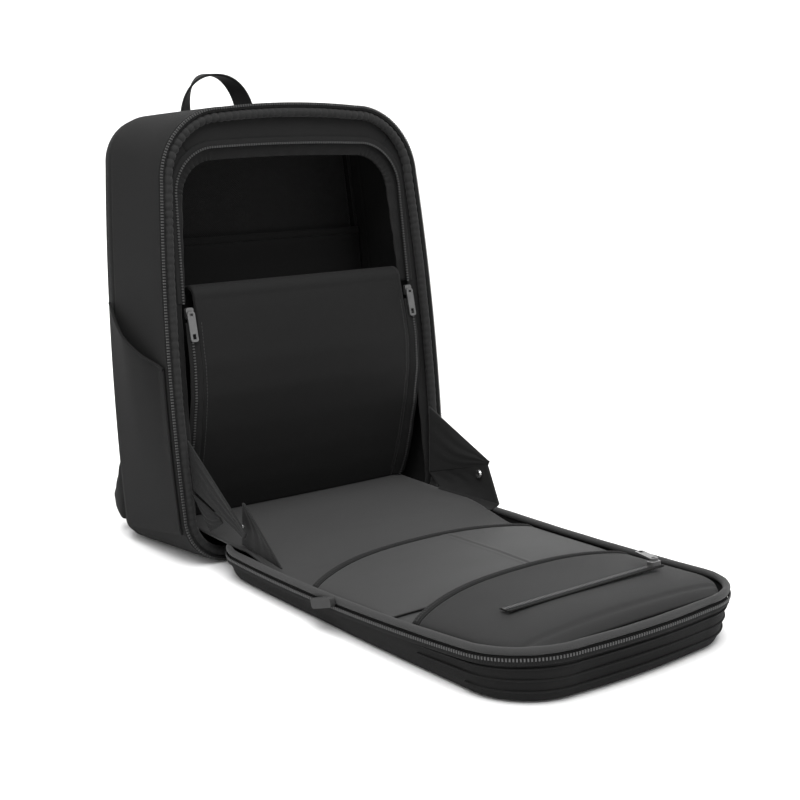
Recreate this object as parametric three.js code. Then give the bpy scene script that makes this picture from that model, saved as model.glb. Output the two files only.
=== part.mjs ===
// A gaming backpack standing open: a structured bag whose whole front is let down to the ground as a lid.
// Millimetres, +Z up. +X is the right of someone who looks into the opening, +Y runs to the wearer's back.
// The origin lies on the underside of the base, on the centre line.
import * as THREE from 'three';

// Driving sizes of the body
const openingHalfWidthFoot = 160;
const openingHalfWidthTop = 148.5;
const openingHeight = 432;
const openingFootRadius = 48;
const openingTopRadius = 70;
const openingSideBulge = 5.4;
const openingTopCrown = 3.7;
const openingLeanDegrees = 7.06;
const openingFootY = -65;
const rearHeight = 419;
const rearFootRadius = 17;
const rearTopRadius = 44;
const rearLeanDegrees = 4.9;
const bodyDepthAtBase = 136;
const wallThickness = 3;
const backPadding = 12;

// Driving sizes of the lid
const lidWidthShare = 0.9;
const lidLengthShare = 0.97;
const hingeLength = 19;
const lidRimHeightNear = 31;
const lidRimHeightFar = 49;
const lidRimSag = 6;
const lidFloorTuck = 8;

// Driving sizes of the second, inner opening and of the panel that closes it
const innerZipHalfWidthFoot = 142;
const innerZipHalfWidthTop = 131;
const innerZipHeight = 396;
const innerZipTopRadius = 46;
const flapHalfWidth = 124;
const flapFoldHeight = 261;
const flapThickness = 4;
const flapTailLength = 140;
const foldAboveSlider = 15;

// Cloth, tape, cord and hardware sizes
const clothThickness = 1.6;
const linerThickness = 2;
const tapeThickness = 1.2;
const bindingWidth = 7;
const bindingThickness = 2.4;
const openingRollRadius = 4.6;
const rimRollRadius = 3.3;
const welt = 1.8;
const handleWidth = 20;
const handleThickness = 2.4;
const handleSpan = 64;
const handleRise = 38;
const handleAside = -10;
const strapPadding = 11;
const strapWidthTop = 62;
const strapWidthFoot = 44;
const webbingWidth = 24;
const webbingThickness = 2;
const pullLength = 29;
const pullWidth = 8;
const pullThickness = 1.6;
const sliderLength = 11;
const sliderWidth = 8;
const sliderThickness = 3.6;
const snapRadius = 4.2;
const snapHeight = 2;
const eyeletRadius = 4.6;
const gap = 0.35;

// Steps along one half of an outline, from the middle of its foot to the middle of its top
const outlineSteps = { footSteps: 2, footCornerSteps: 4, sideSteps: 6, topCornerSteps: 5, topSteps: 2 };

const sliderHeight = flapFoldHeight - foldAboveSlider;
const openingLean = THREE.MathUtils.degToRad(openingLeanDegrees);
const rearLean = THREE.MathUtils.degToRad(rearLeanDegrees);
const lerp = THREE.MathUtils.lerp;
const clamp = THREE.MathUtils.clamp;
const smooth = THREE.MathUtils.smoothstep;
const vec = (x, y, z) => new THREE.Vector3(x, y, z);

const finishes = {
  shell: { color: 0x2b2b2d, roughness: 0.82, metalness: 0 },
  lining: { color: 0x19191b, roughness: 0.9, metalness: 0 },
  organizer: { color: 0x47474a, roughness: 0.85, metalness: 0 },
  trim: { color: 0x38383b, roughness: 0.75, metalness: 0 },
  mesh: { color: 0x1f1f21, roughness: 0.95, metalness: 0 },
  gunmetal: { color: 0x6a6a6e, roughness: 0.35, metalness: 0.9 },
  nickel: { color: 0xc9c9c9, roughness: 0.25, metalness: 1 },
};

const backpack = new THREE.Group();

function addPiece(name, geometry, finish) {
  const mesh = new THREE.Mesh(geometry, new THREE.MeshStandardMaterial(finishes[finish]));
  mesh.name = name;
  backpack.add(mesh);
  return mesh;
}

// A closed solid through a row of sections. Each section runs out along one face and back along the
// other, so an end is closed like a zip, between the points that lie opposite each other. In a thin sheet the
// two faces are split along the same diagonals, so that they can't cross where the sheet is twisted.
function loft(sections, closed = false, thin = false) {
  const count = sections[0].length;
  const points = sections.flat();
  const index = [];
  const joins = closed ? sections.length : sections.length - 1;
  for (let i = 0; i < joins; i += 1) {
    const here = i * count;
    const next = ((i + 1) % sections.length) * count;
    for (let j = 0; j < count; j += 1) {
      const k = (j + 1) % count;
      if (thin && j >= count / 2) {
        index.push([here + j, next + j, here + k]);
        index.push([next + j, next + k, here + k]);
      } else {
        index.push([here + j, next + j, next + k]);
        index.push([here + j, next + k, here + k]);
      }
    }
  }
  const lastStart = (sections.length - 1) * count;
  for (let j = 0; !closed && j < count / 2 - 1; j += 1) {
    const quad = [j, j + 1, count - 2 - j, count - 1 - j];
    index.push([quad[0], quad[1], quad[2]]);
    index.push([quad[0], quad[2], quad[3]]);
    index.push([lastStart + quad[2], lastStart + quad[1], lastStart + quad[0]]);
    index.push([lastStart + quad[3], lastStart + quad[2], lastStart + quad[0]]);
  }
  let volume = 0;
  for (const [a, b, c] of index) {
    volume += points[a].dot(vec(0, 0, 0).crossVectors(points[b], points[c]));
  }
  const facing = volume < 0 ? index.map(([a, b, c]) => [a, c, b]) : index;
  const geometry = new THREE.BufferGeometry();
  geometry.setAttribute('position', new THREE.Float32BufferAttribute(points.flatMap((p) => p.toArray()), 3));
  geometry.setIndex(facing.flat());
  geometry.computeVertexNormals();
  return geometry;
}

const steps = (count) => Array.from({ length: count + 1 }, (_, i) => i / count);

// A cloth sheet: the surface gives its middle, and half the thickness lies on each side of it.
function sheet(surface, across, along, thickness) {
  const nudge = 1e-3;
  const offset = (u, v, side) => {
    const u0 = clamp(u, nudge, 1 - nudge);
    const v0 = clamp(v, nudge, 1 - nudge);
    const du = surface(u0 + nudge, v0).sub(surface(u0 - nudge, v0));
    const dv = surface(u0, v0 + nudge).sub(surface(u0, v0 - nudge));
    return surface(u, v).addScaledVector(du.cross(dv).normalize(), (side * thickness) / 2);
  };
  return loft(steps(across).map((u) => [
    ...steps(along).map((v) => offset(u, v, 1)),
    ...steps(along).reverse().map((v) => offset(u, v, -1)),
  ]), false, true);
}

// A table is read between its rows: rows hold the column "at", rising, and the named column.
function read(table, column, at) {
  const next = table.findIndex((row) => row.at >= at);
  if (next < 0) return table[table.length - 1][column];
  if (next === 0) return table[0][column];
  const a = table[next - 1];
  const b = table[next];
  return lerp(a[column], b[column], smooth(at, a.at, b.at) * 0.5 + 0.5 * ((at - a.at) / (b.at - a.at)));
}

// Half the width of an outline at a height along it
function halfWidth(shape, s) {
  const rise = clamp((s - shape.footRadius) / (shape.height - shape.footRadius - shape.topRadius), 0, 1);
  const straight = lerp(shape.halfFoot, shape.halfTop, s / shape.height) + shape.bulge * 4 * rise * (1 - rise);
  const foot = Math.max(shape.footRadius - s, 0);
  const top = Math.max(s - shape.height + shape.topRadius, 0);
  const footCut = shape.footRadius - Math.sqrt(Math.max(shape.footRadius ** 2 - foot ** 2, 0));
  const topCut = shape.topRadius - Math.sqrt(Math.max(shape.topRadius ** 2 - top ** 2, 0));
  return straight - (foot > 0 ? footCut : 0) - (top > 0 ? topCut : 0);
}

// An outline runs from the middle of its foot up the left side, over the top and down the right side.
function outline(shape) {
  const left = [];
  const flatFoot = shape.halfFoot - shape.footRadius;
  const sideStart = shape.footRadius;
  const sideEnd = shape.height - shape.topRadius;
  for (const t of steps(outlineSteps.footSteps)) left.push({ x: -t * flatFoot, s: 0 });
  for (const t of steps(outlineSteps.footCornerSteps).slice(1)) {
    const s = shape.footRadius * (1 - Math.cos((t * Math.PI) / 2));
    left.push({ x: -halfWidth(shape, s), s });
  }
  for (const t of steps(outlineSteps.sideSteps).slice(1)) {
    const s = lerp(sideStart, sideEnd, t);
    left.push({ x: -halfWidth(shape, s), s });
  }
  for (const t of steps(outlineSteps.topCornerSteps).slice(1)) {
    const s = sideEnd + shape.topRadius * Math.sin((t * Math.PI) / 2);
    left.push({ x: -halfWidth(shape, s), s });
  }
  const flatTop = -left[left.length - 1].x;
  for (const t of steps(outlineSteps.topSteps).slice(1)) {
    left.push({ x: -(1 - t) * flatTop, s: shape.height + shape.crown * (1 - (1 - t) ** 2) });
  }
  const right = left.slice(1, -1).reverse().map((p) => ({ x: -p.x, s: p.s }));
  const all = [...left, ...right];
  return all.map((p, i) => {
    const before = all[(i + all.length - 1) % all.length];
    const after = all[(i + 1) % all.length];
    const length = Math.hypot(after.x - before.x, after.s - before.s);
    return { x: p.x, s: p.s, nx: -(after.s - before.s) / length, ns: (after.x - before.x) / length };
  });
}

// Stretches of an outline, by the number of its points
const half = Object.values(outlineSteps).reduce((sum, n) => sum + n, 0);
const cornerFrom = outlineSteps.footSteps;
const sideFrom = cornerFrom + outlineSteps.footCornerSteps;
const sideTo = sideFrom + outlineSteps.sideSteps;
const outlineCount = 2 * half;
const stretch = {
  leftSide: [sideFrom, sideTo],
  top: [sideTo, outlineCount - sideTo],
  rightSide: [outlineCount - sideTo, outlineCount - sideFrom],
  base: [outlineCount - sideFrom, outlineCount + sideFrom],
  allButFoot: [cornerFrom, outlineCount - cornerFrom],
  around: [0, outlineCount - 1],
};

// The places of a stretch, by point number
const places = ([from, to]) => Array.from({ length: to - from + 1 }, (_, i) => from + i);

function onOutline(points, place, inset) {
  const low = Math.floor(place);
  const a = points[((low % points.length) + points.length) % points.length];
  const b = points[(((low + 1) % points.length) + points.length) % points.length];
  const t = place - low;
  return {
    x: lerp(a.x - a.nx * inset, b.x - b.nx * inset, t),
    s: lerp(a.s - a.ns * inset, b.s - b.ns * inset, t),
  };
}

const openingShape = {
  halfFoot: openingHalfWidthFoot,
  halfTop: openingHalfWidthTop,
  height: openingHeight,
  footRadius: openingFootRadius,
  topRadius: openingTopRadius,
  bulge: openingSideBulge,
  crown: openingTopCrown,
};
const rearShape = { ...openingShape, height: rearHeight, footRadius: rearFootRadius, topRadius: rearTopRadius };
const innerShape = {
  halfFoot: innerZipHalfWidthFoot,
  halfTop: innerZipHalfWidthTop,
  height: innerZipHeight,
  footRadius: openingFootRadius,
  topRadius: innerZipTopRadius,
  bulge: 0,
  crown: openingTopCrown / 2,
};
const openingOutline = outline(openingShape);
const rearOutline = outline(rearShape);
const innerOutline = outline(innerShape);

// A place in the leaning plane of the opening: proud counts towards the front
function inOpening(x, s, proud) {
  const y = openingFootY + s * Math.sin(openingLean) - proud * Math.cos(openingLean);
  return vec(x, y, s * Math.cos(openingLean) + proud * Math.sin(openingLean));
}

// The rear plane leans too: out counts backwards from it
function inRear(x, s, out) {
  const y = openingFootY + bodyDepthAtBase + s * Math.sin(rearLean) + out * Math.cos(rearLean);
  return vec(x, y, s * Math.cos(rearLean) - out * Math.sin(rearLean));
}

// A place on the body's skin, from the opening at share 0 to the rear at share 1
function onBody(place, share, inset) {
  const front = onOutline(openingOutline, place, inset);
  const rear = onOutline(rearOutline, place, inset);
  return inOpening(front.x, front.s, 0).lerp(inRear(rear.x, rear.s, 0), share);
}

// Where the skin tucks in towards the rear, so that the rear edge is rounded
const rearTuck = 10;
const skinRows = [
  { at: 0, tuck: 0 },
  { at: 0.45, tuck: -0.6 },
  { at: 0.84, tuck: 0 },
  { at: 0.93, tuck: 0.22 * rearTuck },
  { at: 0.98, tuck: 0.62 * rearTuck },
  { at: 1, tuck: rearTuck },
];
// Each wall stops a little short of the seams at its two ends
function stepLength(place) {
  const a = onBody(place, 0.5, 0);
  return a.distanceTo(onBody(place + 1, 0.5, 0));
}
function wall([from, to]) {
  const list = places([from, to]);
  list[0] += (1.5 * gap) / stepLength(from);
  list[list.length - 1] -= (1.5 * gap) / stepLength(to - 1);
  return loft(list.map((place) => [
    ...skinRows.map((row) => onBody(place, row.at, Math.max(row.tuck, 0))),
    ...skinRows.map((row) => onBody(place, row.at, Math.max(row.tuck, 0) + wallThickness)).reverse(),
  ]));
}
addPiece('side_wall_left', wall(stretch.leftSide), 'shell');
addPiece('side_wall_right', wall(stretch.rightSide), 'shell');
addPiece('top_wall', wall(stretch.top), 'shell');
addPiece('base_wall', wall(stretch.base), 'shell');

// The padded back closes the rear inside the tucked edge of the walls
const backInset = rearTuck + wallThickness + gap;
const backRings = [
  { inset: backInset, out: -backPadding },
  { inset: backInset, out: 0.6 },
  { inset: backInset + 8, out: 2.5 },
];
addPiece('back_panel', loft(backRings.map((ring) => places(stretch.around).map((place) => {
  const p = onOutline(rearOutline, place, ring.inset);
  return inRear(p.x, p.s, ring.out);
}))), 'shell');

// A pad across the foot of the back, thickest a little above the ground
const lumbarHalfWidth = 157;
const lumbarRows = [
  { at: 0, s: 9, thick: 12 },
  { at: 0.2, s: 18, thick: 27 },
  { at: 0.45, s: 34, thick: 33 },
  { at: 0.75, s: 60, thick: 20 },
  { at: 1, s: 88, thick: 5 },
];
const lumbarFront = 2.5 + gap;
addPiece('lumbar_pad', loft(steps(8).map((u) => {
  const x = lerp(-lumbarHalfWidth, lumbarHalfWidth, u);
  const ends = Math.sqrt(1 - (0.94 * (2 * u - 1)) ** 6);
  return [
    ...lumbarRows.map((row) => inRear(x, row.s, lumbarFront + row.thick * (0.35 + 0.65 * ends))),
    ...lumbarRows.map((row) => inRear(x, row.s, lumbarFront)).reverse(),
  ];
})), 'shell');

// The carry handle: a strap loop over the rear of the top, twisted so that its ends lie in the back seam
const handleSection = { at: [0, 0.12, 0.3, 0.5, 0.7, 0.88, 1], steps: 16 };
const handleTwist = [
  { at: 0, turn: 30 },
  { at: 0.5, turn: 90 },
  { at: 1, turn: 150 },
];
function rearTopPlace(x) {
  const reach = clamp(Math.abs(x) / rearShape.halfTop, 0, 1);
  const s = rearHeight + openingTopCrown * (1 - reach ** 2);
  return inRear(x, s, 0);
}
const handleFoot = rearTopPlace(0).z - 9;
const handleY = rearTopPlace(0).y + 2.6 + handleThickness;
addPiece('handle', loft(steps(handleSection.steps).map((t) => {
  const angle = Math.PI * t;
  const flare = 1 + 0.12 * Math.cos(angle) ** 2;
  const centre = vec(
    handleAside - (handleSpan / 2) * Math.sign(Math.cos(angle)) * Math.abs(Math.cos(angle)) ** 0.8 * flare,
    handleY + 8 * Math.sin(angle),
    handleFoot + (handleRise + 9) * Math.sin(angle) ** 0.85,
  );
  const turn = THREE.MathUtils.degToRad(read(handleTwist, 'turn', t));
  const across = vec(Math.cos(turn), Math.sin(turn), 0);
  const run = vec(Math.sin(angle), 0, Math.cos(angle));
  const out = vec(0, 0, 0).crossVectors(run, across).normalize();
  return [[-1, 1], [1, 1], [1, -1], [-1, -1]].map(([a, o]) => centre.clone()
    .addScaledVector(across, (a * handleWidth) / 2)
    .addScaledVector(out, (o * handleThickness) / 2));
})), 'trim');

// Shoulder straps: a padded strap down each side of the back, then a ladder buckle and plain webbing
const strapRows = [
  { at: 0, x: 42, out: 3.1, s: 388, width: 1 },
  { at: 0.12, x: 44, out: 9, s: 356, width: 1 },
  { at: 0.4, x: 58, out: 16, s: 274, width: 0.95 },
  { at: 0.7, x: 80, out: 22, s: 186, width: 0.82 },
  { at: 1, x: 96, out: 33, s: 118, width: strapWidthFoot / strapWidthTop },
];
const buckle = { width: 34, height: 22, thick: 5, bar: 4, slot: 4.5 };
const buckleStand = 1.4;
const webbingFoot = { x: 112, out: 36.3, s: 33 };
for (const [name, side] of [['left', -1], ['right', 1]]) {
  const centre = (t) => inRear(
    side * read(strapRows, 'x', t),
    read(strapRows, 's', t),
    read(strapRows, 'out', t) + strapPadding / 2,
  );
  addPiece(`shoulder_strap_${name}`, loft(steps(10).map((t) => {
    const here = centre(t);
    const run = centre(Math.min(t + 0.02, 1)).sub(centre(Math.max(t - 0.02, 0))).normalize();
    const across = vec(1, 0, 0).addScaledVector(run, -run.x).normalize();
    const out = vec(0, 0, 0).crossVectors(across, run).normalize();
    const width = (strapWidthTop / 2) * read(strapRows, 'width', t);
    const rim = strapPadding / 2;
    return [[-1, 0.3], [-0.86, 1], [0.86, 1], [1, 0.3], [1, -0.3], [0.86, -1], [-0.86, -1], [-1, -0.3]]
      .map(([a, o]) => here.clone().addScaledVector(across, a * width).addScaledVector(out, o * rim));
  })), 'shell');

  const end = centre(1);
  const foot = inRear(side * webbingFoot.x, webbingFoot.s, webbingFoot.out);
  const down = foot.clone().sub(end).normalize();
  const sideways = vec(1, 0, 0).addScaledVector(down, -down.x).normalize();
  const outwards = vec(0, 0, 0).crossVectors(sideways, down).normalize();
  const frame = new THREE.Matrix4().makeBasis(sideways, down.clone().negate(), outwards.clone().negate());
  const shape = new THREE.Shape();
  shape.moveTo(-buckle.width / 2, -buckle.height / 2);
  shape.lineTo(buckle.width / 2, -buckle.height / 2);
  shape.lineTo(buckle.width / 2, buckle.height / 2);
  shape.lineTo(-buckle.width / 2, buckle.height / 2);
  for (const row of [-1, 1]) {
    const middle = row * (buckle.slot + buckle.bar) * 0.62;
    const slotHalf = webbingWidth / 2 + 1;
    const hole = new THREE.Path();
    hole.moveTo(-slotHalf, middle - buckle.slot / 2);
    hole.lineTo(-slotHalf, middle + buckle.slot / 2);
    hole.lineTo(slotHalf, middle + buckle.slot / 2);
    hole.lineTo(slotHalf, middle - buckle.slot / 2);
    shape.holes.push(hole);
  }
  const plate = new THREE.ExtrudeGeometry(shape, { depth: buckle.thick, bevelEnabled: false });
  plate.translate(0, 0, -buckle.thick / 2);
  const ladder = addPiece(`strap_buckle_${name}`, plate, 'trim');
  const buckleAt = end.clone().addScaledVector(down, buckle.height / 2 + buckleStand);
  ladder.quaternion.setFromRotationMatrix(frame);
  ladder.position.copy(buckleAt);

  const webTop = buckleAt.clone().addScaledVector(down, buckle.height / 2 + gap);
  addPiece(`strap_webbing_${name}`, loft(steps(4).map((t) => {
    const here = webTop.clone().lerp(foot, t);
    return [[-1, 1], [1, 1], [1, -1], [-1, -1]].map(([a, o]) => here.clone()
      .addScaledVector(sideways, (a * webbingWidth) / 2)
      .addScaledVector(outwards, (o * webbingThickness) / 2));
  })), 'trim');
}

// Side pockets: a panel sewn over the lower part of each side, open along a slanting upper edge
const pocketMouth = [
  { at: 0, s: 190 },
  { at: 0.3, s: 199 },
  { at: 0.6, s: 212 },
  { at: 0.82, s: 226 },
  { at: 1, s: 240 },
];
const pocketFrontShare = 0.03;
const pocketRearShare = 0.84;
const pocketFootPlace = sideFrom - 0.8;
const pocketPuff = 8;
const pocketStand = 0.5;
function placeAt(shape, s) {
  const straight = shape.height - shape.footRadius - shape.topRadius;
  return sideFrom + (outlineSteps.sideSteps * (s - shape.footRadius)) / straight;
}
for (const [name, side] of [['left', -1], ['right', 1]]) {
  addPiece(`side_pocket_${name}`, sheet((u, v) => {
    const share = lerp(pocketFrontShare, pocketRearShare, u);
    const mouth = read(pocketMouth, 's', u);
    const mouthPlace = lerp(placeAt(openingShape, mouth), placeAt(rearShape, mouth), share);
    const puff = pocketPuff * Math.sin(Math.PI * clamp(u * 1.1 - 0.1, 0, 1)) * v ** 3;
    const stand = gap + pocketStand + clothThickness / 2 + puff;
    const p = onBody(lerp(pocketFootPlace, mouthPlace, v), share, -stand);
    return vec(-side * p.x, p.y, p.z);
  }, 8, 6, clothThickness), 'shell');
}

// A trim that follows a stretch of an outline in the opening's plane, with a given section
function openingTrim(points, list, section, closed = false) {
  return loft(list.map((place) => section(place).map(([inset, proud]) => {
    const p = onOutline(points, place, inset);
    return inOpening(p.x, p.s, proud);
  })), closed);
}
const box = (inset0, inset1, proud0, proud1) => [
  [inset0, proud1],
  [inset1, proud1],
  [inset1, proud0],
  [inset0, proud0],
];
const round = (inset, proud, radius, sides) => Array.from({ length: sides }, (_, i) => {
  const angle = (2 * Math.PI * (i + 0.5)) / sides;
  return [inset + radius * Math.cos(angle), proud + radius * Math.sin(angle)];
});

// The body's half of the big zip, and the gathered roll of lining tape inside it
const zipTapeWidth = 5;
const zipTeethProud = 2.2;
addPiece('opening_zip_tape', openingTrim(
  openingOutline,
  places(stretch.allButFoot),
  () => box(gap, zipTapeWidth, gap, zipTeethProud),
), 'trim');
const gatherDepth = 0.5;
const rollSides = 8;
const rollInset = zipTapeWidth + gap + openingRollRadius * Math.cos(Math.PI / rollSides);
addPiece('gathered_roll', openingTrim(
  openingOutline,
  places(stretch.allButFoot),
  (place) => round(rollInset, -1, openingRollRadius - gatherDepth * (place % 2), rollSides),
), 'lining');

// The facing stands behind the roll, between the big zip and the inner one
const facingDepth = 8;
const facingBow = 1.4;
const facingOuter = wallThickness + gap;
const facingFrom = sideFrom - 1;
const facingList = places([facingFrom, outlineCount - facingFrom]);
addPiece('facing_panel', loft(facingList.map((place) => {
  const outer = onOutline(openingOutline, place, facingOuter);
  const inner = onOutline(innerOutline, place, 0);
  const rows = [0, 0.5, 1].map((t) => ({ x: lerp(outer.x, inner.x, t), s: lerp(outer.s, inner.s, t), t }));
  const bow = (t) => facingBow * Math.sin(Math.PI * t);
  return [
    ...rows.map((row) => inOpening(row.x, row.s, -facingDepth + bow(row.t))),
    ...rows.reverse().map((row) => inOpening(row.x, row.s, -facingDepth - clothThickness + bow(row.t))),
  ];
})), 'lining');

const zipProud = -facingDepth + 0.8 * facingBow + gap;
// The inner zip runs up from one slider, over the top and down to the other
const sliderPlace = places([sideFrom, sideTo]).find((i) => innerOutline[i].s > sliderHeight);
const innerZipList = places([sliderPlace, outlineCount - sliderPlace]);
addPiece('inner_zip_tape', openingTrim(
  innerOutline,
  innerZipList,
  () => box(-5, 2, zipProud, zipProud + tapeThickness),
), 'trim');

// A strip of lining hangs behind the inner zip
const hemHangTop = 13;
const hemHangSide = 7.5;
addPiece('hem_strip', openingTrim(
  innerOutline,
  innerZipList,
  (place) => {
    const wave = place % 2;
    const depth = facingDepth + clothThickness + gap;
    const hang = lerp(hemHangSide, hemHangTop, smooth(onOutline(innerOutline, place, 0).s, sliderHeight, innerZipHeight));
    return [
      [-8, -depth],
      [2, -depth],
      [hang, -depth - 2 - wave],
      [hang, -depth - 2 - wave - clothThickness],
      [2, -depth - clothThickness],
      [-8, -depth - clothThickness],
    ];
  },
), 'lining');

// The slip pocket on the inside of the padded back, with its bound upper edge
const slipTop = 288;
const slipFoot = 14;
const slipStand = 8;
const slipSide = gap + 0.3;
const insideBack = (off) => -backPadding - off;
function insideHalf(s) {
  return halfWidth(rearShape, s) - rearTuck * 0.25 - wallThickness - slipSide;
}
addPiece('slip_pocket', sheet((u, v) => {
  const s = lerp(slipFoot, slipTop, v);
  const x = lerp(-insideHalf(s), insideHalf(s), u);
  const belly = Math.sqrt(Math.max(1 - (2 * u - 1) ** 6, 0));
  return inRear(x, s, insideBack(gap + clothThickness / 2 + slipStand * belly * (0.25 + 0.75 * v)));
}, 8, 6, clothThickness), 'lining');
addPiece('slip_pocket_binding', sheet((u, v) => {
  const s = slipTop + gap + v * bindingWidth;
  const x = lerp(-insideHalf(s), insideHalf(s), u);
  const belly = Math.sqrt(Math.max(1 - (2 * u - 1) ** 6, 0));
  return inRear(x, s, insideBack(gap + clothThickness / 2 + slipStand * belly));
}, 8, 1, bindingThickness), 'mesh');

// The panel that closes the inner opening: zipped up to the sliders, its upper part folded down inside.
// Each row gives the height, as a share of the fold's height, and how far behind the opening's plane the
// cloth stands there.
const linerHeight = 32.4;
const flapFootTilt = 0.4;
const flapFoot = linerHeight + linerThickness / 2 + flapFootTilt + gap;
const flapRows = [
  { at: 0, behind: 47.5 },
  { at: 0.12, behind: 34.4 },
  { at: 0.25, behind: 22.9 },
  { at: 0.42, behind: 10.4 },
  { at: 0.58, behind: 1.2 },
  { at: 0.72, behind: -1.5 },
  { at: 0.86, behind: 0.7 },
  { at: 0.95, behind: 2.9 },
  { at: 1, behind: 5 },
];
const foldRadius = 11;
const frontLength = flapFoldHeight - foldRadius - flapFoot;
function flapY(along) {
  const behind = read(flapRows, 'behind', along / frontLength);
  return openingFootY + (flapFoot + along) * Math.tan(openingLean) + behind;
}
function flapMiddle(v) {
  const foldLength = Math.PI * foldRadius;
  const along = v * (frontLength + foldLength + flapTailLength);
  const foldY = flapY(frontLength);
  if (along <= frontLength) return { y: flapY(along), z: flapFoot + along };
  if (along <= frontLength + foldLength) {
    const angle = (along - frontLength) / foldRadius;
    return {
      y: foldY + foldRadius * (1 - Math.cos(angle)),
      z: flapFoldHeight - foldRadius + foldRadius * Math.sin(angle),
    };
  }
  const hang = along - frontLength - foldLength;
  return { y: foldY + 2 * foldRadius + 0.12 * hang, z: flapFoldHeight - foldRadius - hang };
}
addPiece('divider_flap', sheet((u, v) => {
  const { y, z } = flapMiddle(v);
  return vec(lerp(-flapHalfWidth, flapHalfWidth, u), y, z);
}, 4, 24, flapThickness), 'lining');

// Zip tape down each side of the panel, from the slider to the foot
for (const [name, side] of [['left', -1], ['right', 1]]) {
  addPiece(`flap_tape_${name}`, sheet((u, v) => {
    const z = lerp(flapFoot, sliderHeight - sliderLength - 5, v);
    const inner = flapHalfWidth + gap;
    const outer = halfWidth(innerShape, z / Math.cos(openingLean)) - gap;
    const bow = 1.5 * Math.sin(Math.PI * u);
    return vec(side * lerp(inner, outer, u), flapY(z - flapFoot) - bow, z);
  }, 2, 12, clothThickness), 'trim');
}

// A zip slider lies on the tape, and its pull hangs from it: origin at the slider's upper end, hanging down -Y
function roundedPlate(width, length, radius, thickness, holes) {
  const shape = new THREE.Shape();
  const w = width / 2;
  shape.moveTo(-w + radius, -length);
  shape.lineTo(w - radius, -length);
  shape.absarc(w - radius, -length + radius, radius, -Math.PI / 2, 0, false);
  shape.lineTo(w, -radius);
  shape.absarc(w - radius, -radius, radius, 0, Math.PI / 2, false);
  shape.lineTo(-w + radius, 0);
  shape.absarc(-w + radius, -radius, radius, Math.PI / 2, Math.PI, false);
  shape.lineTo(-w, -length + radius);
  shape.absarc(-w + radius, -length + radius, radius, Math.PI, 1.5 * Math.PI, false);
  for (const hole of holes) {
    const path = new THREE.Path();
    path.moveTo(-hole.width / 2, hole.y - hole.length / 2);
    path.lineTo(-hole.width / 2, hole.y + hole.length / 2);
    path.lineTo(hole.width / 2, hole.y + hole.length / 2);
    path.lineTo(hole.width / 2, hole.y - hole.length / 2);
    shape.holes.push(path);
  }
  const geometry = new THREE.ExtrudeGeometry(shape, { depth: thickness, bevelEnabled: false, curveSegments: 2 });
  return geometry.translate(0, 0, -thickness / 2);
}
function addSlider(name, pullName, at, alongTape, outOfTape, pullAlong) {
  const x = vec(0, 0, 0).crossVectors(alongTape, outOfTape).normalize();
  const slider = addPiece(name, roundedPlate(sliderWidth, sliderLength, 2, sliderThickness, []), 'gunmetal');
  slider.quaternion.setFromRotationMatrix(new THREE.Matrix4().makeBasis(x, alongTape, outOfTape));
  slider.position.copy(at).addScaledVector(outOfTape, sliderThickness / 2);
  const holes = [
    { y: -3, width: 3.4, length: 2.4 },
    { y: -pullLength + 5, width: 3.6, length: 5 },
  ];
  const pull = addPiece(pullName, roundedPlate(pullWidth, pullLength, 2.4, pullThickness, holes), 'gunmetal');
  const px = vec(0, 0, 0).crossVectors(pullAlong, outOfTape).normalize();
  pull.quaternion.setFromRotationMatrix(new THREE.Matrix4().makeBasis(px, pullAlong, outOfTape));
  pull.position.copy(at)
    .addScaledVector(alongTape, -sliderLength / 3)
    .addScaledVector(outOfTape, sliderThickness + gap + pullThickness / 2);
}
const upTheOpening = vec(0, Math.sin(openingLean), Math.cos(openingLean));
const outOfOpening = vec(0, -Math.cos(openingLean), Math.sin(openingLean));
const sliderStand = 0.95;
const sliderProud = zipProud + tapeThickness + sliderStand;
const pullUp = vec(0, 0.34, 0.94).normalize();
for (const [name, side] of [['left', -1], ['right', 1]]) {
  const half = halfWidth(innerShape, sliderHeight);
  const at = inOpening(side * (half - sliderWidth / 2 - 1), sliderHeight, sliderProud);
  addSlider(`slider_${name}`, `pull_${name}`, at, upTheOpening, outOfOpening, pullUp);
}

// Outline of the lid: the opening's, let down to the front and a little smaller
const lidShape = {
  halfFoot: openingHalfWidthFoot * lidWidthShare,
  halfTop: openingHalfWidthTop * lidWidthShare,
  height: openingHeight * lidLengthShare,
  footRadius: openingFootRadius * lidWidthShare,
  topRadius: openingTopRadius * lidWidthShare,
  bulge: openingSideBulge * 0.5,
  crown: openingTopCrown,
};
const lidOutline = outline(lidShape);
const lidStart = openingFootY - hingeLength;
const rimHeight = (s) => {
  const share = clamp(s / lidShape.height, 0, 1);
  return lerp(lidRimHeightNear, lidRimHeightFar, share) - lidRimSag * 4 * share * (1 - share);
};
function inLid(place, inset, z) {
  const p = onOutline(lidOutline, place, inset);
  return vec(p.x, lidStart - p.s, typeof z === 'function' ? z(p.s) : z);
}

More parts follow.
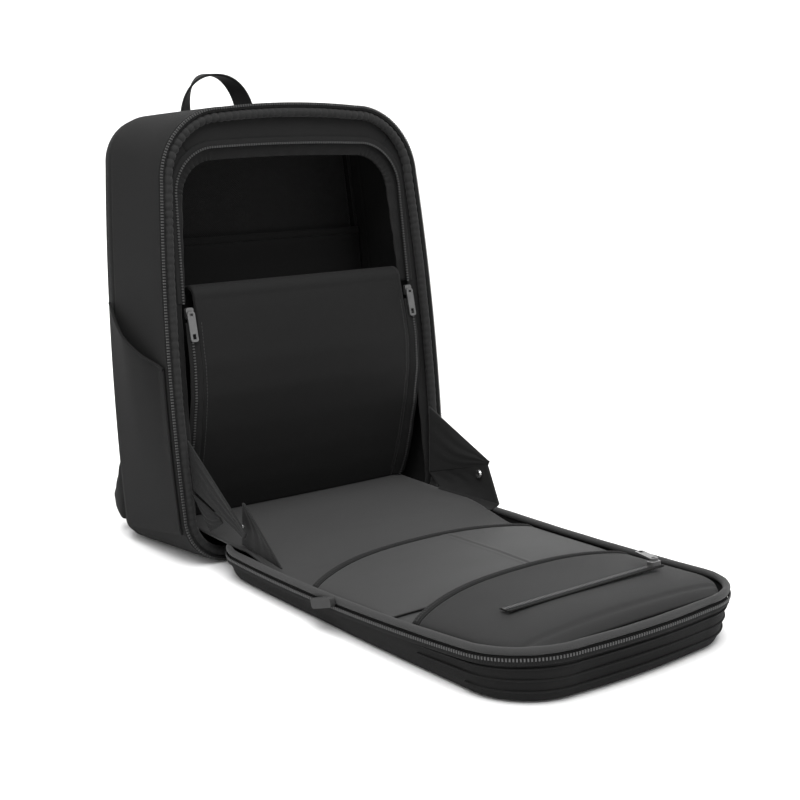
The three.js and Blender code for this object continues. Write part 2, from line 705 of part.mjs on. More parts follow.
// The lid's shell: a shallow tray of the outer cloth, its walls leaning in to the ground
const rollDrop = 2 * rimRollRadius + gap;
const trayRings = [
  { inset: lidFloorTuck + 4, z: () => 0 },
  { inset: lidFloorTuck - 2, z: () => 3.5 },
  { inset: lidFloorTuck * 0.3, z: (s) => (rimHeight(s) - rollDrop) * 0.55 },
  { inset: 0, z: (s) => rimHeight(s) - rollDrop },
  { inset: wallThickness, z: (s) => rimHeight(s) - rollDrop },
  { inset: lidFloorTuck * 0.3 + wallThickness, z: (s) => (rimHeight(s) - rollDrop) * 0.55 },
  { inset: lidFloorTuck + wallThickness, z: () => 3.5 },
];
addPiece('lid_shell', loft(trayRings.map((ring) => (
  places(stretch.around).map((place) => inLid(place, ring.inset, ring.z))
))), 'shell');

// Cloth joins the foot of the body to the lid
const hingeHalf = openingHalfWidthFoot - openingFootRadius - 14;
addPiece('hinge_panel', sheet((u, v) => vec(
  lerp(-hingeHalf, hingeHalf, u),
  lerp(openingFootY - gap, lidStart - lidFloorTuck + 1, v),
  linerThickness / 2 + 0.6,
), 4, 2, linerThickness), 'shell');

// The piped rim, the lid's half of the big zip under it, and the welts across the far wall
const ringInLid = (list, section) => loft(list.map((place) => section(place).map(([inset, up]) => (
  inLid(place, inset, (s) => rimHeight(s) + up)
))));
addPiece('lid_rim_roll', ringInLid(
  places(stretch.allButFoot),
  () => round(rimRollRadius * 0.5, -rimRollRadius, rimRollRadius, 8),
), 'shell');
const lidTapeDrop = rollDrop + 1;
const lidTapeWidth = 6;
addPiece('lid_zip_tape', ringInLid(
  places(stretch.allButFoot),
  () => [
    [-gap - tapeThickness, -lidTapeDrop],
    [-gap, -lidTapeDrop],
    [-gap + 0.4, -lidTapeDrop - lidTapeWidth],
    [-gap - tapeThickness + 0.4, -lidTapeDrop - lidTapeWidth],
  ],
), 'trim');

// The welts run round the far wall of the lid. Heights are shares of the wall's height there.
const weltRows = [
  { name: 'upper', height: 0.74, from: 6, to: 6 },
  { name: 'middle', height: 0.5, from: 6, to: 7 },
  { name: 'lower', height: 0.26, from: 7, to: 7 },
];
const wallInset = (height) => lerp(lidFloorTuck * 0.9, 0, height ** 0.8);
for (const row of weltRows) {
  const list = places([sideTo - 7 + row.from, outlineCount - sideTo + 7 - row.to]);
  const z = (s) => (rimHeight(s) - rollDrop) * row.height;
  const out = wallInset(row.height) - gap;
  addPiece(`lid_welt_${row.name}`, loft(list.map((place) => [
    inLid(place, out - welt, z),
    inLid(place, out - welt / 3, (s) => z(s) + welt / 2),
    inLid(place, out, z),
    inLid(place, out - welt / 3, (s) => z(s) - welt / 2),
  ])), 'trim');
}

// Inside the lid: a lining over its whole width, from the foot of the panel to the far rim
const linerInset = 7.9;
const linerDrop = 6.5;
const linerDropUnderPockets = 9;
const linerStartY = flapY(0) - flapThickness / 2 + 6;
const linerRise = { from: 46, to: 104 };
const linerDip = { from: 88, to: 112 };
const linerShape = {
  ...lidShape,
  halfFoot: lidShape.halfFoot - linerInset,
  halfTop: lidShape.halfTop - linerInset,
  height: lidShape.height - linerInset,
  topRadius: lidShape.topRadius - linerInset,
};
const linerReach = linerShape.height - 1;
const panelZ = (y) => rimHeight(lidStart - y) - linerDrop;
function linerZ(y) {
  const s = lidStart - y;
  const drop = lerp(linerDrop, linerDropUnderPockets, smooth(s, linerDip.from, linerDip.to));
  return lerp(linerHeight, rimHeight(s) - drop, smooth(s, linerRise.from, linerRise.to));
}
const linerHalf = (y) => {
  const s = lidStart - y;
  return s < lidShape.footRadius ? linerShape.halfFoot : Math.min(linerShape.halfFoot, halfWidth(linerShape, s));
};
addPiece('lid_liner', sheet((u, v) => {
  const y = lerp(linerStartY, lidStart - linerReach, 1 - (1 - v) ** 1.35);
  return vec(lerp(-1, 1, u) * linerHalf(y), y, linerZ(y));
}, 6, 14, linerThickness), 'organizer');

// Two slip pockets lie on the lining. Each is open at its near edge, which is cut in an arch and bound.
// Lengths are measured from the hinge, as shares of the lid's length.
const pocketRows = [
  { name: 'middle', near: 0.271, ends: 0.098, crown: 0.1, far: 0.62, stand: 6.4 },
  { name: 'end', near: 0.61, ends: 0.08, crown: 0.16, far: 0.965, stand: 12 },
];
const pocketMargin = 1.5;
for (const row of pocketRows) {
  const arch = (u) => {
    const across = 2 * u - 1 - row.crown;
    return row.near + row.ends * (Math.abs(across) / (1 + row.crown)) ** 2.3;
  };
  const seat = (linerThickness + bindingThickness) / 2;
  const surface = (u, share, v) => {
    const y = lidStart - share * lidShape.height;
    const x = lerp(-1, 1, u) * (linerHalf(y) - pocketMargin);
    const open = Math.sin(Math.PI * u) ** 0.35 * (1 - v ** 10);
    return vec(x, y, lerp(linerZ(y) + seat, panelZ(y) + row.stand, open));
  };
  addPiece(`lid_pocket_${row.name}`, sheet((u, v) => (
    surface(u, lerp(arch(u) + (bindingWidth + 3 * gap) / lidShape.height, row.far, v), v)
  ), 10, 5, clothThickness), 'organizer');
  addPiece(`lid_pocket_binding_${row.name}`, sheet((u, v) => (
    surface(u, arch(u) + (bindingWidth * v) / lidShape.height, 0)
  ), 10, 1, bindingThickness), 'mesh');
}

// The zip pocket across the end panel
const endPocket = pocketRows[1];
const lidZip = { share: 0.811, from: -78, to: 98, width: 7 };
const lidZipUp = endPocket.stand + clothThickness / 2 + gap + tapeThickness / 2;
const onLidPanel = (x, share, up) => {
  const y = lidStart - share * lidShape.height;
  return vec(x, y, panelZ(y) + up);
};
addPiece('lid_pocket_zip', sheet((u, v) => onLidPanel(
  lerp(lidZip.from, lidZip.to, u),
  lidZip.share + ((v - 0.5) * lidZip.width) / lidShape.height,
  lidZipUp,
), 6, 1, tapeThickness), 'trim');
const lidSlope = onLidPanel(0, lidZip.share - 0.02, 0).sub(onLidPanel(0, lidZip.share + 0.02, 0)).normalize();
const lidUp = vec(1, 0, 0).cross(lidSlope).normalize();
const lidSliderAt = onLidPanel(lidZip.to - 1, lidZip.share, lidZipUp + tapeThickness / 2 + gap);
const lidPullAlong = lidSlope.clone().negate().multiplyScalar(0.95).addScaledVector(vec(1, 0, 0), -0.3).normalize();
addSlider('lid_slider', 'lid_pull', lidSliderAt, vec(1, 0, 0), lidUp, lidPullAlong);

// Side gussets hold the lid when it is down. Each is folded cloth between the body's edge, the hinge
// and the rim of the lid: a patch per fold, given by its four corners in order round it.
const gussetRows = [
  {
    name: 'gusset_left_upper',
    corners: [[-145.8, -50.5, 121], [-144.5, -57.5, 74], [-141, -141, 46.5], [-140.5, -144, 51.5]],
    sag: [2, 2, 1],
  },
  {
    name: 'gusset_left_fold',
    corners: [[-146.3, -59, 70], [-138.5, -76, 36.5], [-137, -97, 49.5], [-140, -97, 55]],
    sag: [-3, 0, 0],
  },
  {
    name: 'gusset_left_fin',
    corners: [[-131.5, -122, 34.3], [-132.5, -190, 29.3], [-134.2, -131, 76], [-134, -128, 76]],
    sag: [1.5, 0, 0],
  },
  {
    name: 'gusset_right_upper',
    corners: [[145.7, -51.5, 114], [136.5, -64, 45], [147.5, -145, 68.6], [148, -147, 73]],
    sag: [-2, 0, 0],
  },
  {
    name: 'gusset_right_lower',
    corners: [[136.3, -64.3, 44.4], [147.4, -145.3, 68], [143.5, -168, 33.5], [133.5, -84, 34.7]],
    sag: [2, 0, 0],
  },
];
for (const row of gussetRows) {
  const [a, b, c, d] = row.corners.map((p) => vec(...p));
  addPiece(row.name, sheet((u, v) => {
    const near = a.clone().lerp(b, v);
    const far = d.clone().lerp(c, v);
    const belly = Math.sin(Math.PI * u) * Math.sin(Math.PI * v);
    return near.lerp(far, u).addScaledVector(vec(...row.sag), belly);
  }, 6, 3, clothThickness), 'lining');
}

// Press studs and the eyelet of the gussets
function stud(radius, bore) {
  const points = [
    [bore, 0],
    [radius, 0],
    [radius, snapHeight * 0.45],
    [radius * 0.72, snapHeight],
    [bore, snapHeight],
  ].map(([r, h]) => new THREE.Vector2(r, h));
  if (bore > 0) points.push(points[0].clone());
  return new THREE.LatheGeometry(points, 12);
}
const studRows = [
  { name: 'snap_left_upper', at: [-139.3, -133, 54], faces: [1, 0, 0.04], radius: snapRadius, bore: 0 },
  { name: 'snap_left_fin', at: [-130.9, -134.5, 63], faces: [1, 0, -0.05], radius: snapRadius * 0.8, bore: 0 },
  { name: 'eyelet_right', at: [143.8, -136, 58.5], faces: [-1, 0, 0.1], radius: eyeletRadius, bore: 1.6 },
];
for (const row of studRows) {
  const mesh = addPiece(row.name, stud(row.radius, row.bore), 'nickel');
  mesh.quaternion.setFromUnitVectors(vec(0, 1, 0), vec(...row.faces).normalize());
  mesh.position.set(...row.at);
}

// The end of the big zip: a slider and puller hang from the left rim, and a slider stands at the right
const hanging = { share: 0.42, length: 30, width: 9, thick: 5 };
const hangingS = hanging.share * lidShape.height;
const hangingOut = halfWidth(lidShape, hangingS) + tapeThickness + 2 * gap + hanging.thick / 2;
const hangingPull = addPiece('zip_puller', roundedPlate(hanging.width, hanging.length, 3, hanging.thick, []), 'trim');
hangingPull.quaternion.setFromRotationMatrix(new THREE.Matrix4().makeBasis(
  vec(0, -0.32, -0.95).normalize(),
  vec(0, 0.95, -0.32).normalize(),
  vec(1, 0, 0),
));
hangingPull.position.set(-hangingOut, lidStart - hangingS, rimHeight(hangingS) - lidTapeDrop - 3);

const edgeSliderS = 0.36 * lidShape.height;
const edgeSlider = addPiece('zip_slider', roundedPlate(sliderWidth, sliderLength, 2, sliderThickness, []), 'trim');
edgeSlider.quaternion.setFromRotationMatrix(new THREE.Matrix4().makeBasis(vec(0, 0, 1), vec(0, 1, 0), vec(-1, 0, 0)));
edgeSlider.position.set(
  halfWidth(lidShape, edgeSliderS) + tapeThickness + 2 * gap + sliderThickness / 2,
  lidStart - edgeSliderS,
  rimHeight(edgeSliderS) - lidTapeDrop - sliderWidth / 2 + 1,
);

export default backpack;
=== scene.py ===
"""A gaming backpack standing open, with its front let down to the ground as a lid.

Lengths in the tables are millimetres, as in the part's source. Blender gets metres.
"""

from math import cos, pi, radians, sin, tan

import bmesh
import bpy
import numpy as np
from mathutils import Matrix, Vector


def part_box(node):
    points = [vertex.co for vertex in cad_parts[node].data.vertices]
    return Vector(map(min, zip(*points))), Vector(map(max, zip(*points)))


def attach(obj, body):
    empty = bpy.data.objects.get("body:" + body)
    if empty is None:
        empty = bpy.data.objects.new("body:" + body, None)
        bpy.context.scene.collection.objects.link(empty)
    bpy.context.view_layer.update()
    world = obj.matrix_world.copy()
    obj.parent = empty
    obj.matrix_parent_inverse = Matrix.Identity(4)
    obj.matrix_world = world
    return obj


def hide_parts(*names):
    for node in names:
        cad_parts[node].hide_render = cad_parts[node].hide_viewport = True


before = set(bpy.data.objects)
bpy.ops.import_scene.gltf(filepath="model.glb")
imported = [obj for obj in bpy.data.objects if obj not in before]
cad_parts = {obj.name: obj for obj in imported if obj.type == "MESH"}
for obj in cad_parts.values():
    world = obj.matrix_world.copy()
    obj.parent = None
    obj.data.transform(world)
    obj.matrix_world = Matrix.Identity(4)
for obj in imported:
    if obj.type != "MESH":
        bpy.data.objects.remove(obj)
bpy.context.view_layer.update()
MM = 0.001

# The studio: a plain pale floor that sweeps up behind the bag, a large soft light overhead, a weaker one
# from the left, and the camera where the photograph was taken from.


def plug(tree, slot, value):
    if isinstance(value, Wire):
        tree.links.new(value.socket, slot)
    else:
        slot.default_value = value


class Wire:
    """An output of a shader node. Arithmetic on it adds Math nodes."""

    def __init__(self, tree, socket):
        self.tree = tree
        self.socket = socket

    def math(self, operation, *others):
        node = self.tree.nodes.new("ShaderNodeMath")
        node.operation = operation
        for slot, value in zip(node.inputs, (self, *others)):
            plug(self.tree, slot, value)
        return Wire(self.tree, node.outputs[0])

    def __add__(self, other):
        return self.math("ADD", other)

    def __sub__(self, other):
        return self.math("SUBTRACT", other)

    def __mul__(self, other):
        return self.math("MULTIPLY", other)

    def __truediv__(self, other):
        return self.math("DIVIDE", other)

    def __rsub__(self, other):
        return self * -1.0 + other

    __radd__ = __add__
    __rmul__ = __mul__

    def sine(self):
        return self.math("SINE")

    def fract(self):
        return self.math("FRACT")

    def over(self, edge):
        return self.math("GREATER_THAN", edge)


class Finish:
    """The node tree of one material."""

    def __init__(self, name):
        self.material = bpy.data.materials.new(name)
        self.material.use_nodes = True
        self.tree = self.material.node_tree
        self.shader = self.tree.nodes["Principled BSDF"]

    def node(self, kind, output=0, settings=None, **inputs):
        node = self.tree.nodes.new(kind)
        for key, value in (settings or {}).items():
            setattr(node, key, value)
        for key, value in inputs.items():
            plug(self.tree, node.inputs[key.replace("_", " ")], value)
        return Wire(self.tree, node.outputs[output])

    def mix(self, factor, a, b):
        node = self.tree.nodes.new("ShaderNodeMix")
        node.data_type = "RGBA"
        for key, value in (("Factor", factor), ("A", a), ("B", b)):
            slots = [s for s in node.inputs if s.name == key and s.enabled]
            plug(self.tree, slots[0], value)
        return Wire(self.tree, next(s for s in node.outputs if s.enabled))

    def set(self, **inputs):
        for key, value in inputs.items():
            plug(self.tree, self.shader.inputs[key.replace("_", " ")], value)


def grey(value, warm=0.0):
    return (value * (1 + warm), value, value * (1 - warm), 1.0)


FLOOR_TONE, WORLD_STRENGTH = 0.86, 0.62
FLOOR_NEAR, FLOOR_FAR, FLOOR_HALF, SWEEP, BACKDROP_TOP = -3.0, 2.2, 4.5, 1.2, 4.0
BELOW_THE_BAG = 0.0004
CAMERA_AT, LENS_MM, SENSOR_MM = (-0.7744, -1.1949, 0.4461), 63.44, 36
CAMERA_LOOK = (0.5957, 0.7735, -0.2163)

floor_finish = Finish("studio_floor")
floor_finish.set(Base_Color=grey(FLOOR_TONE), Roughness=0.9)
floor_mesh = bpy.data.meshes.new("floor")
floor_profile = [(FLOOR_NEAR, 0.0), (FLOOR_FAR, 0.0)]
for turn in np.linspace(0.1, pi / 2, 14):
    floor_profile.append((FLOOR_FAR + SWEEP * sin(turn), SWEEP - SWEEP * cos(turn)))
floor_profile.append((FLOOR_FAR + SWEEP, BACKDROP_TOP))
look = Vector((CAMERA_LOOK[0], CAMERA_LOOK[1], 0.0)).normalized()
aside = Vector((look.y, -look.x, 0.0))
floor_points = []
for run, up in floor_profile:
    for side in (-FLOOR_HALF, FLOOR_HALF):
        floor_points.append(look * run + aside * side + Vector((0, 0, up - BELOW_THE_BAG)))
floor_faces = [(2 * i, 2 * i + 1, 2 * i + 3, 2 * i + 2) for i in range(len(floor_profile) - 1)]
floor_mesh.from_pydata([tuple(p) for p in floor_points], [], floor_faces)
floor_mesh.polygons.foreach_set("use_smooth", [True] * len(floor_faces))
floor_mesh.materials.append(floor_finish.material)
floor = bpy.data.objects.new("floor", floor_mesh)
bpy.context.scene.collection.objects.link(floor)

world = bpy.data.worlds.new("studio")
bpy.context.scene.world = world
world.use_nodes = True
world.node_tree.nodes["Background"].inputs["Color"].default_value = (1, 1, 1, 1)
world.node_tree.nodes["Background"].inputs["Strength"].default_value = WORLD_STRENGTH
bpy.context.scene.view_settings.view_transform = "Standard"

for name, power, size, at, target in (
    ("overhead", 92, 2.2, (-0.5, -0.9, 2.3), (0, -0.15, 0.1)),
    ("left_fill", 4, 1.6, (-2.2, -0.6, 1.1), (0, 0, 0.2)),
    ("front_fill", 5, 1.6, (0.4, -2.6, 1.3), (0, -0.1, 0.2)),
    ("backdrop", 90, 2.4, (0.8, 1.0, 3.0), (2.0, 2.6, 0.6)),
):
    lamp = bpy.data.lights.new(name, "AREA")
    lamp.energy = power
    lamp.size = size
    light = bpy.data.objects.new(name, lamp)
    light.location = at
    light.rotation_euler = (Vector(target) - Vector(at)).to_track_quat("-Z", "Y").to_euler()
    bpy.context.scene.collection.objects.link(light)

camera_data = bpy.data.cameras.new("camera")
camera_data.lens = LENS_MM
camera_data.sensor_width = SENSOR_MM
camera = bpy.data.objects.new("camera", camera_data)
camera.location = CAMERA_AT
camera.rotation_euler = Vector(CAMERA_LOOK).to_track_quat("-Z", "Y").to_euler()
bpy.context.scene.collection.objects.link(camera)
bpy.context.scene.camera = camera

# The skin: one band of coated canvas round the body, from the opening back to the padded rear, lined
# with a darker cloth. It tucks in towards the rear, and a seam runs down each side near the back.
GAP = 0.35
WALL = 3.0
LEAN = radians(7.06)
REAR_LEAN = radians(4.9)
FOOT_Y = -65.0
DEPTH = 136.0
REAR_TUCK = 10.0
OPENING = dict(half_foot=160, half_top=148.5, height=432, foot=48, top=70, bulge=5.4, crown=3.7)
REAR = dict(OPENING, height=419, foot=17, top=44)
FOOT_END, CORNER_END, SIDE_END, TOP_CORNER_END, HALF = 2, 6, 12, 17, 19
PLACES = 2 * HALF


def lerp(a, b, t):
    return a + (b - a) * t


def smooth(x, low, high):
    t = np.clip((x - low) / (high - low), 0, 1)
    return t * t * (3 - 2 * t)


def half_width(shape, s):
    straight_run = shape["height"] - shape["foot"] - shape["top"]
    rise = np.clip((s - shape["foot"]) / straight_run, 0, 1)
    width = lerp(shape["half_foot"], shape["half_top"], s / shape["height"])
    width = width + shape["bulge"] * 4 * rise * (1 - rise)
    for radius, past in (
        (shape["foot"], shape["foot"] - s), (shape["top"], s - shape["height"] + shape["top"])
    ):
        past = np.clip(past, 0, radius)
        width = width - (radius - np.sqrt(radius**2 - past**2))
    return width


def on_edge(shape, place):
    place = np.mod(place, PLACES)
    p = np.where(place > HALF, PLACES - place, place)
    side_top = shape["height"] - shape["top"]
    foot_turn = np.clip((p - FOOT_END) / (CORNER_END - FOOT_END), 0, 1) * pi / 2
    top_turn = np.clip((p - SIDE_END) / (TOP_CORNER_END - SIDE_END), 0, 1) * pi / 2
    along_top = np.clip((p - TOP_CORNER_END) / (HALF - TOP_CORNER_END), 0, 1)
    s = np.select(
        [p <= FOOT_END, p <= CORNER_END, p <= SIDE_END, p <= TOP_CORNER_END],
        [
            p * 0,
            shape["foot"] * (1 - np.cos(foot_turn)),
            lerp(shape["foot"], side_top, (p - CORNER_END) / (SIDE_END - CORNER_END)),
            side_top + shape["top"] * np.sin(top_turn),
        ],
        shape["height"] + shape["crown"] * (1 - (1 - along_top) ** 2),
    )
    x = half_width(shape, np.minimum(s, shape["height"]))
    x = np.where(p <= FOOT_END, p / FOOT_END * (shape["half_foot"] - shape["foot"]), x)
    x = np.where(p > TOP_CORNER_END, (1 - along_top) * half_width(shape, shape["height"]), x)
    return np.where(place > HALF, x, -x), s


def edge(shape, place, inset):
    x, s = on_edge(shape, place)
    x0, s0 = on_edge(shape, place - 0.05)
    x1, s1 = on_edge(shape, place + 0.05)
    length = np.hypot(x1 - x0, s1 - s0)
    return x + (s1 - s0) / length * inset, s - (x1 - x0) / length * inset


def point(x, y, z):
    return np.stack(np.broadcast_arrays(x, y, z), axis=-1).astype(float)


def in_opening(x, s, proud):
    return point(x, FOOT_Y + s * sin(LEAN) - proud * cos(LEAN), s * cos(LEAN) + proud * sin(LEAN))


def in_rear(x, s, out):
    return point(
        x,
        FOOT_Y + DEPTH + s * sin(REAR_LEAN) + out * cos(REAR_LEAN),
        s * cos(REAR_LEAN) - out * sin(REAR_LEAN),
    )


def on_body(place, share, inset):
    front = in_opening(*edge(OPENING, place, inset), 0)
    rear = in_rear(*edge(REAR, place, inset), 0)
    return lerp(front, rear, np.asarray(share, float)[..., None])


def read(table, column, at):
    """Reads a table of rows between its "at" values, rounding off each bend a little."""
    rows = [row["at"] for row in table]
    values = [row[column] for row in table]
    at = np.clip(at, rows[0], rows[-1])
    fine = np.linspace(rows[0], rows[-1], 241)
    line = np.interp(fine, rows, values)
    kernel = np.hanning(17)
    padded = np.concatenate([2 * line[0] - line[8:0:-1], line, 2 * line[-1] - line[-2:-10:-1]])
    return np.interp(at, fine, np.convolve(padded, kernel / kernel.sum(), "valid"))


def ripple(a, b, seed, count=5):
    """Smooth, irregular and repeatable waves between about -1 and 1."""
    total = 0
    for i in range(count):
        turn = seed * 1.7 + i * 2.399
        total = total + np.sin(
            a * cos(turn) * (1 + 0.37 * i) + b * sin(turn) * (1 + 0.29 * i) + seed + 1.3 * i
        )
    return total / count * 1.6


def grid(u_count, v_count):
    return np.meshgrid(np.linspace(0, 1, u_count), np.linspace(0, 1, v_count), indexing="ij")


def mesh_of(name, patches, around=False, loop=False):
    """Quads through grids of points in millimetres. The UV map is the length along the cloth in metres."""
    points, faces, maps, area, start = [], [], [], 0.0, 0
    for patch in patches:
        rows, columns = patch.shape[:2]
        index = start + np.arange(rows * columns).reshape(rows, columns)
        full = patch
        if around:
            full = np.concatenate([full, full[:, :1]], axis=1)
            index = np.concatenate([index, index[:, :1]], axis=1)
        if loop:
            full = np.concatenate([full, full[:1]], axis=0)
            index = np.concatenate([index, index[:1]], axis=0)
        down = np.linalg.norm(np.diff(full, axis=0), axis=2)
        across = np.linalg.norm(np.diff(full, axis=1), axis=2)
        u = np.concatenate([np.zeros((1, full.shape[1])), np.cumsum(down, axis=0)]) * MM
        v = np.concatenate([np.zeros((full.shape[0], 1)), np.cumsum(across, axis=1)], axis=1) * MM
        corners = [(slice(None, -1), slice(None, -1)), (slice(1, None), slice(None, -1))]
        corners += [(slice(1, None), slice(1, None)), (slice(None, -1), slice(1, None))]
        faces.append(np.stack([index[c] for c in corners], axis=-1).reshape(-1, 4))
        maps.append(np.stack([np.stack([u[c], v[c]], axis=-1) for c in corners], axis=2).reshape(-1, 2))
        a, b, c, d = (full[k] for k in corners)
        area += 0.5 * np.linalg.norm(np.cross(c - a, d - b), axis=-1).sum() * MM * MM
        points.append(patch.reshape(-1, 3) * MM)
        start += rows * columns
    mesh = bpy.data.meshes.new(name)
    faces = np.concatenate(faces)
    mesh.from_pydata(np.concatenate(points).tolist(), [], faces.tolist())
    layer = mesh.uv_layers.new(name="cloth")
    layer.data.foreach_set("uv", np.concatenate(maps).ravel())
    mesh.polygons.foreach_set("use_smooth", [True] * len(faces))
    flat = (float(max(down.sum(axis=0))) * MM, float(max(across.sum(axis=1))) * MM)
    return mesh, flat, area


def place_piece(name, mesh, finish, nodes=(), thickness=0, offset=-1, inside=None):
    piece = bpy.data.objects.new(name, mesh)
    bpy.context.scene.collection.objects.link(piece)
    mesh.materials.append(finish.material)
    if thickness:
        solid = piece.modifiers.new("thickness", "SOLIDIFY")
        solid.thickness = thickness * MM
        solid.offset = offset
        if inside:
            mesh.materials.append(inside.material)
            solid.material_offset = 1
    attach(piece, "root")
    if nodes:
        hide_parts(*nodes)
    return piece


def cloth(
    name, patches, finish, slot, nodes=(), thickness=1.6, offset=0, held="stretched", on=(), **more
):
    """A sheet of cloth through one or more grids of points. Its flat size is worked out, and not used."""
    inside = more.pop("inside", None)
    mesh, flat, area = mesh_of(name, patches, **more)
    if more.get("around"):
        flat, area = (flat[0], flat[1] / 2), area / 2
    piece = place_piece(name, mesh, finish, nodes, thickness, offset, inside)
    flat = (max(flat[0], 0.0101), max(flat[1], area / flat[0], 0.0101))
    share = min(max(area, 0.301 * flat[0] * flat[1]), flat[0] * flat[1])
    return piece


def fabric(
    name,
    tone,
    pitch=1.0,
    weave=0.25,
    rough=0.85,
    sheen=0.25,
    mottle=0.18,
    rib=False,
    warm=0.0,
    gloss=0.14,
):
    """Woven cloth: threads over and under each other, with a slightly uneven tone, painted shade between the
    raised threads, and dulled patches.
    """
    finish = Finish(name)
    uv = finish.node("ShaderNodeUVMap", settings={"uv_map": "cloth"})
    split = finish.node("ShaderNodeSeparateXYZ", Vector=uv)
    u = split
    v = Wire(finish.tree, split.socket.node.outputs[1])
    turns = 2 * pi / (pitch * MM)
    across = (u * turns).sine()
    along = (v * turns).sine()
    if rib:
        height = across * 0.5 + 0.5
    else:
        height = across * along * 0.5 + 0.5
    place = finish.node("ShaderNodeTexCoord", 3)
    slow = finish.node("ShaderNodeTexNoise", Vector=place, Scale=9.0, Detail=4.0, Roughness=0.55)
    fine = finish.node("ShaderNodeTexNoise", Vector=place, Scale=420.0, Detail=2.0, Roughness=0.6)
    # The colour is uneven at random, and is also lighter on the raised threads and darker between them:
    # painted shade in the weave's hollows.
    tone_and_weave_shade = (slow * 0.6 + fine * 0.4 - 0.5) * (2.2 * mottle) + 0.5 + (height - 0.5) * 0.25
    colour = finish.mix(tone_and_weave_shade, grey(tone * 0.62, warm), grey(tone * 1.38, warm))
    bump = finish.node(
        "ShaderNodeBump", Height=height + fine * 0.6, Strength=weave, Distance=0.0004
    )
    finish.set(Base_Color=colour, Normal=bump, Roughness=slow * 0.12 + (rough - 0.06))
    finish.set(Sheen_Weight=sheen, Sheen_Roughness=0.45, Specular_IOR_Level=gloss)
    return finish


shell = fabric("shell_canvas", 0.0082, pitch=0.9, weave=0.35, rough=0.8, sheen=0.015, gloss=0.1)
lining = fabric("lining_cloth", 0.007, pitch=0.7, weave=0.25, rough=0.88, sheen=0.02)
trim = fabric("trim_tape", 0.009, pitch=1.3, weave=0.5, rough=0.85, sheen=0.02, rib=True, gloss=0.1)
piping = fabric("piping", 0.032, pitch=1.3, weave=0.5, rough=0.75, sheen=0.08, rib=True)

SKIN_ROWS = [
    dict(at=0, tuck=0),
    dict(at=0.84, tuck=0),
    dict(at=0.93, tuck=0.22 * REAR_TUCK),
    dict(at=0.98, tuck=0.62 * REAR_TUCK),
    dict(at=1, tuck=REAR_TUCK),
]
SIDE_SEAM_SHARE = 0.79
place, share = grid(360, 84)
place = place[:-1] * PLACES
share = share[:-1]
seam = np.exp(-(((share - SIDE_SEAM_SHARE) * DEPTH / 1.1) ** 2))
side = smooth(np.abs(np.mod(place, PLACES) - HALF), 5.2, 8.5)
dent = 0.5 * ripple(place * 0.7, share * 4, 2.0) * smooth(share, 0.02, 0.2) * (
    1 - smooth(share, 0.8, 0.95)
)
inset = np.interp(share, [r["at"] for r in SKIN_ROWS], [r["tuck"] for r in SKIN_ROWS])
inset = inset + 0.7 * seam * side + np.maximum(dent, -0.3) * 0.8 + 0.2
cloth(
    "shell_skin",
    [on_body(place, share, inset)],
    shell,
    "shell_fabric",
    ["side_wall_left", "side_wall_right", "top_wall", "base_wall"],
    thickness=WALL - 0.4,
    offset=-1,
    on=["floor"],
    inside=lining,
    loop=True,
)

# The big zip: a ribbed tape round the opening's edge, with the body's row of teeth on it.
TAPE_WIDTH = 5.0
TEETH_PROUD = 2.2
TOOTH_PITCH = 2.7
STITCH_PITCH, STITCH = 3.4, (2.3, 0.55, 0.4)
ROUND_THE_OPENING = np.linspace(FOOT_END, PLACES - FOOT_END, 1500)


def bar(centre, half, count=12, power=0.6):
    angle = (np.arange(count) + 0.5) / count * 2 * pi
    c, s = np.cos(angle), np.sin(angle)
    return np.stack(
        [
            centre[0] + half[0] * np.sign(c) * abs(c) ** power,
            centre[1] + half[1] * np.sign(s) * abs(s) ** power,
        ],
        axis=-1,
    )


def follow(shape, place, section):
    section = np.asarray(section, float)
    section = np.broadcast_to(section, (len(place),) + section.shape[-2:])
    return in_opening(*edge(shape, place[:, None], section[..., 0]), section[..., 1])


def evenly(points, pitch):
    length = np.concatenate([[0], np.cumsum(np.linalg.norm(np.diff(points, axis=0), axis=1))])
    at = np.linspace(0, length[-1], max(int(length[-1] / pitch), 2))
    return np.stack([np.interp(at, length, points[:, i]) for i in range(3)], axis=-1)


def blocks(name, centres, along, out, size, finish, nodes=()):
    """Many small blocks in one mesh: size is along, across and out."""
    along = along / np.linalg.norm(along, axis=-1, keepdims=True)
    across = np.cross(out, along)
    across = across / np.linalg.norm(across, axis=-1, keepdims=True)
    out = np.cross(along, across)
    corners = np.array(
        [[i, j, k] for i in (-1, 1) for j in (-1, 1) for k in (-1, 1)]
    ) * 0.5 * np.array(size)
    points = centres[:, None] + corners[None, :, :1] * along[:, None]
    points = points + corners[None, :, 1:2] * across[:, None] + corners[None, :, 2:] * out[:, None]
    quads = np.array(
        [[0, 1, 3, 2], [4, 6, 7, 5], [0, 4, 5, 1], [2, 3, 7, 6], [0, 2, 6, 4], [1, 5, 7, 3]]
    )
    faces = (np.arange(len(centres)) * 8)[:, None, None] + quads
    mesh = bpy.data.meshes.new(name)
    mesh.from_pydata((points.reshape(-1, 3) * MM).tolist(), [], faces.reshape(-1, 4).tolist())
    return place_piece(name, mesh, finish, nodes)


def teeth(name, line, out, pitch=TOOTH_PITCH, size=(1.3, 2.2, 1.5)):
    centres = evenly(line, pitch)
    along = np.gradient(centres, axis=0)
    out = np.broadcast_to(np.asarray(out, float), centres.shape)
    return blocks(name, centres, along, out, size, tooth)


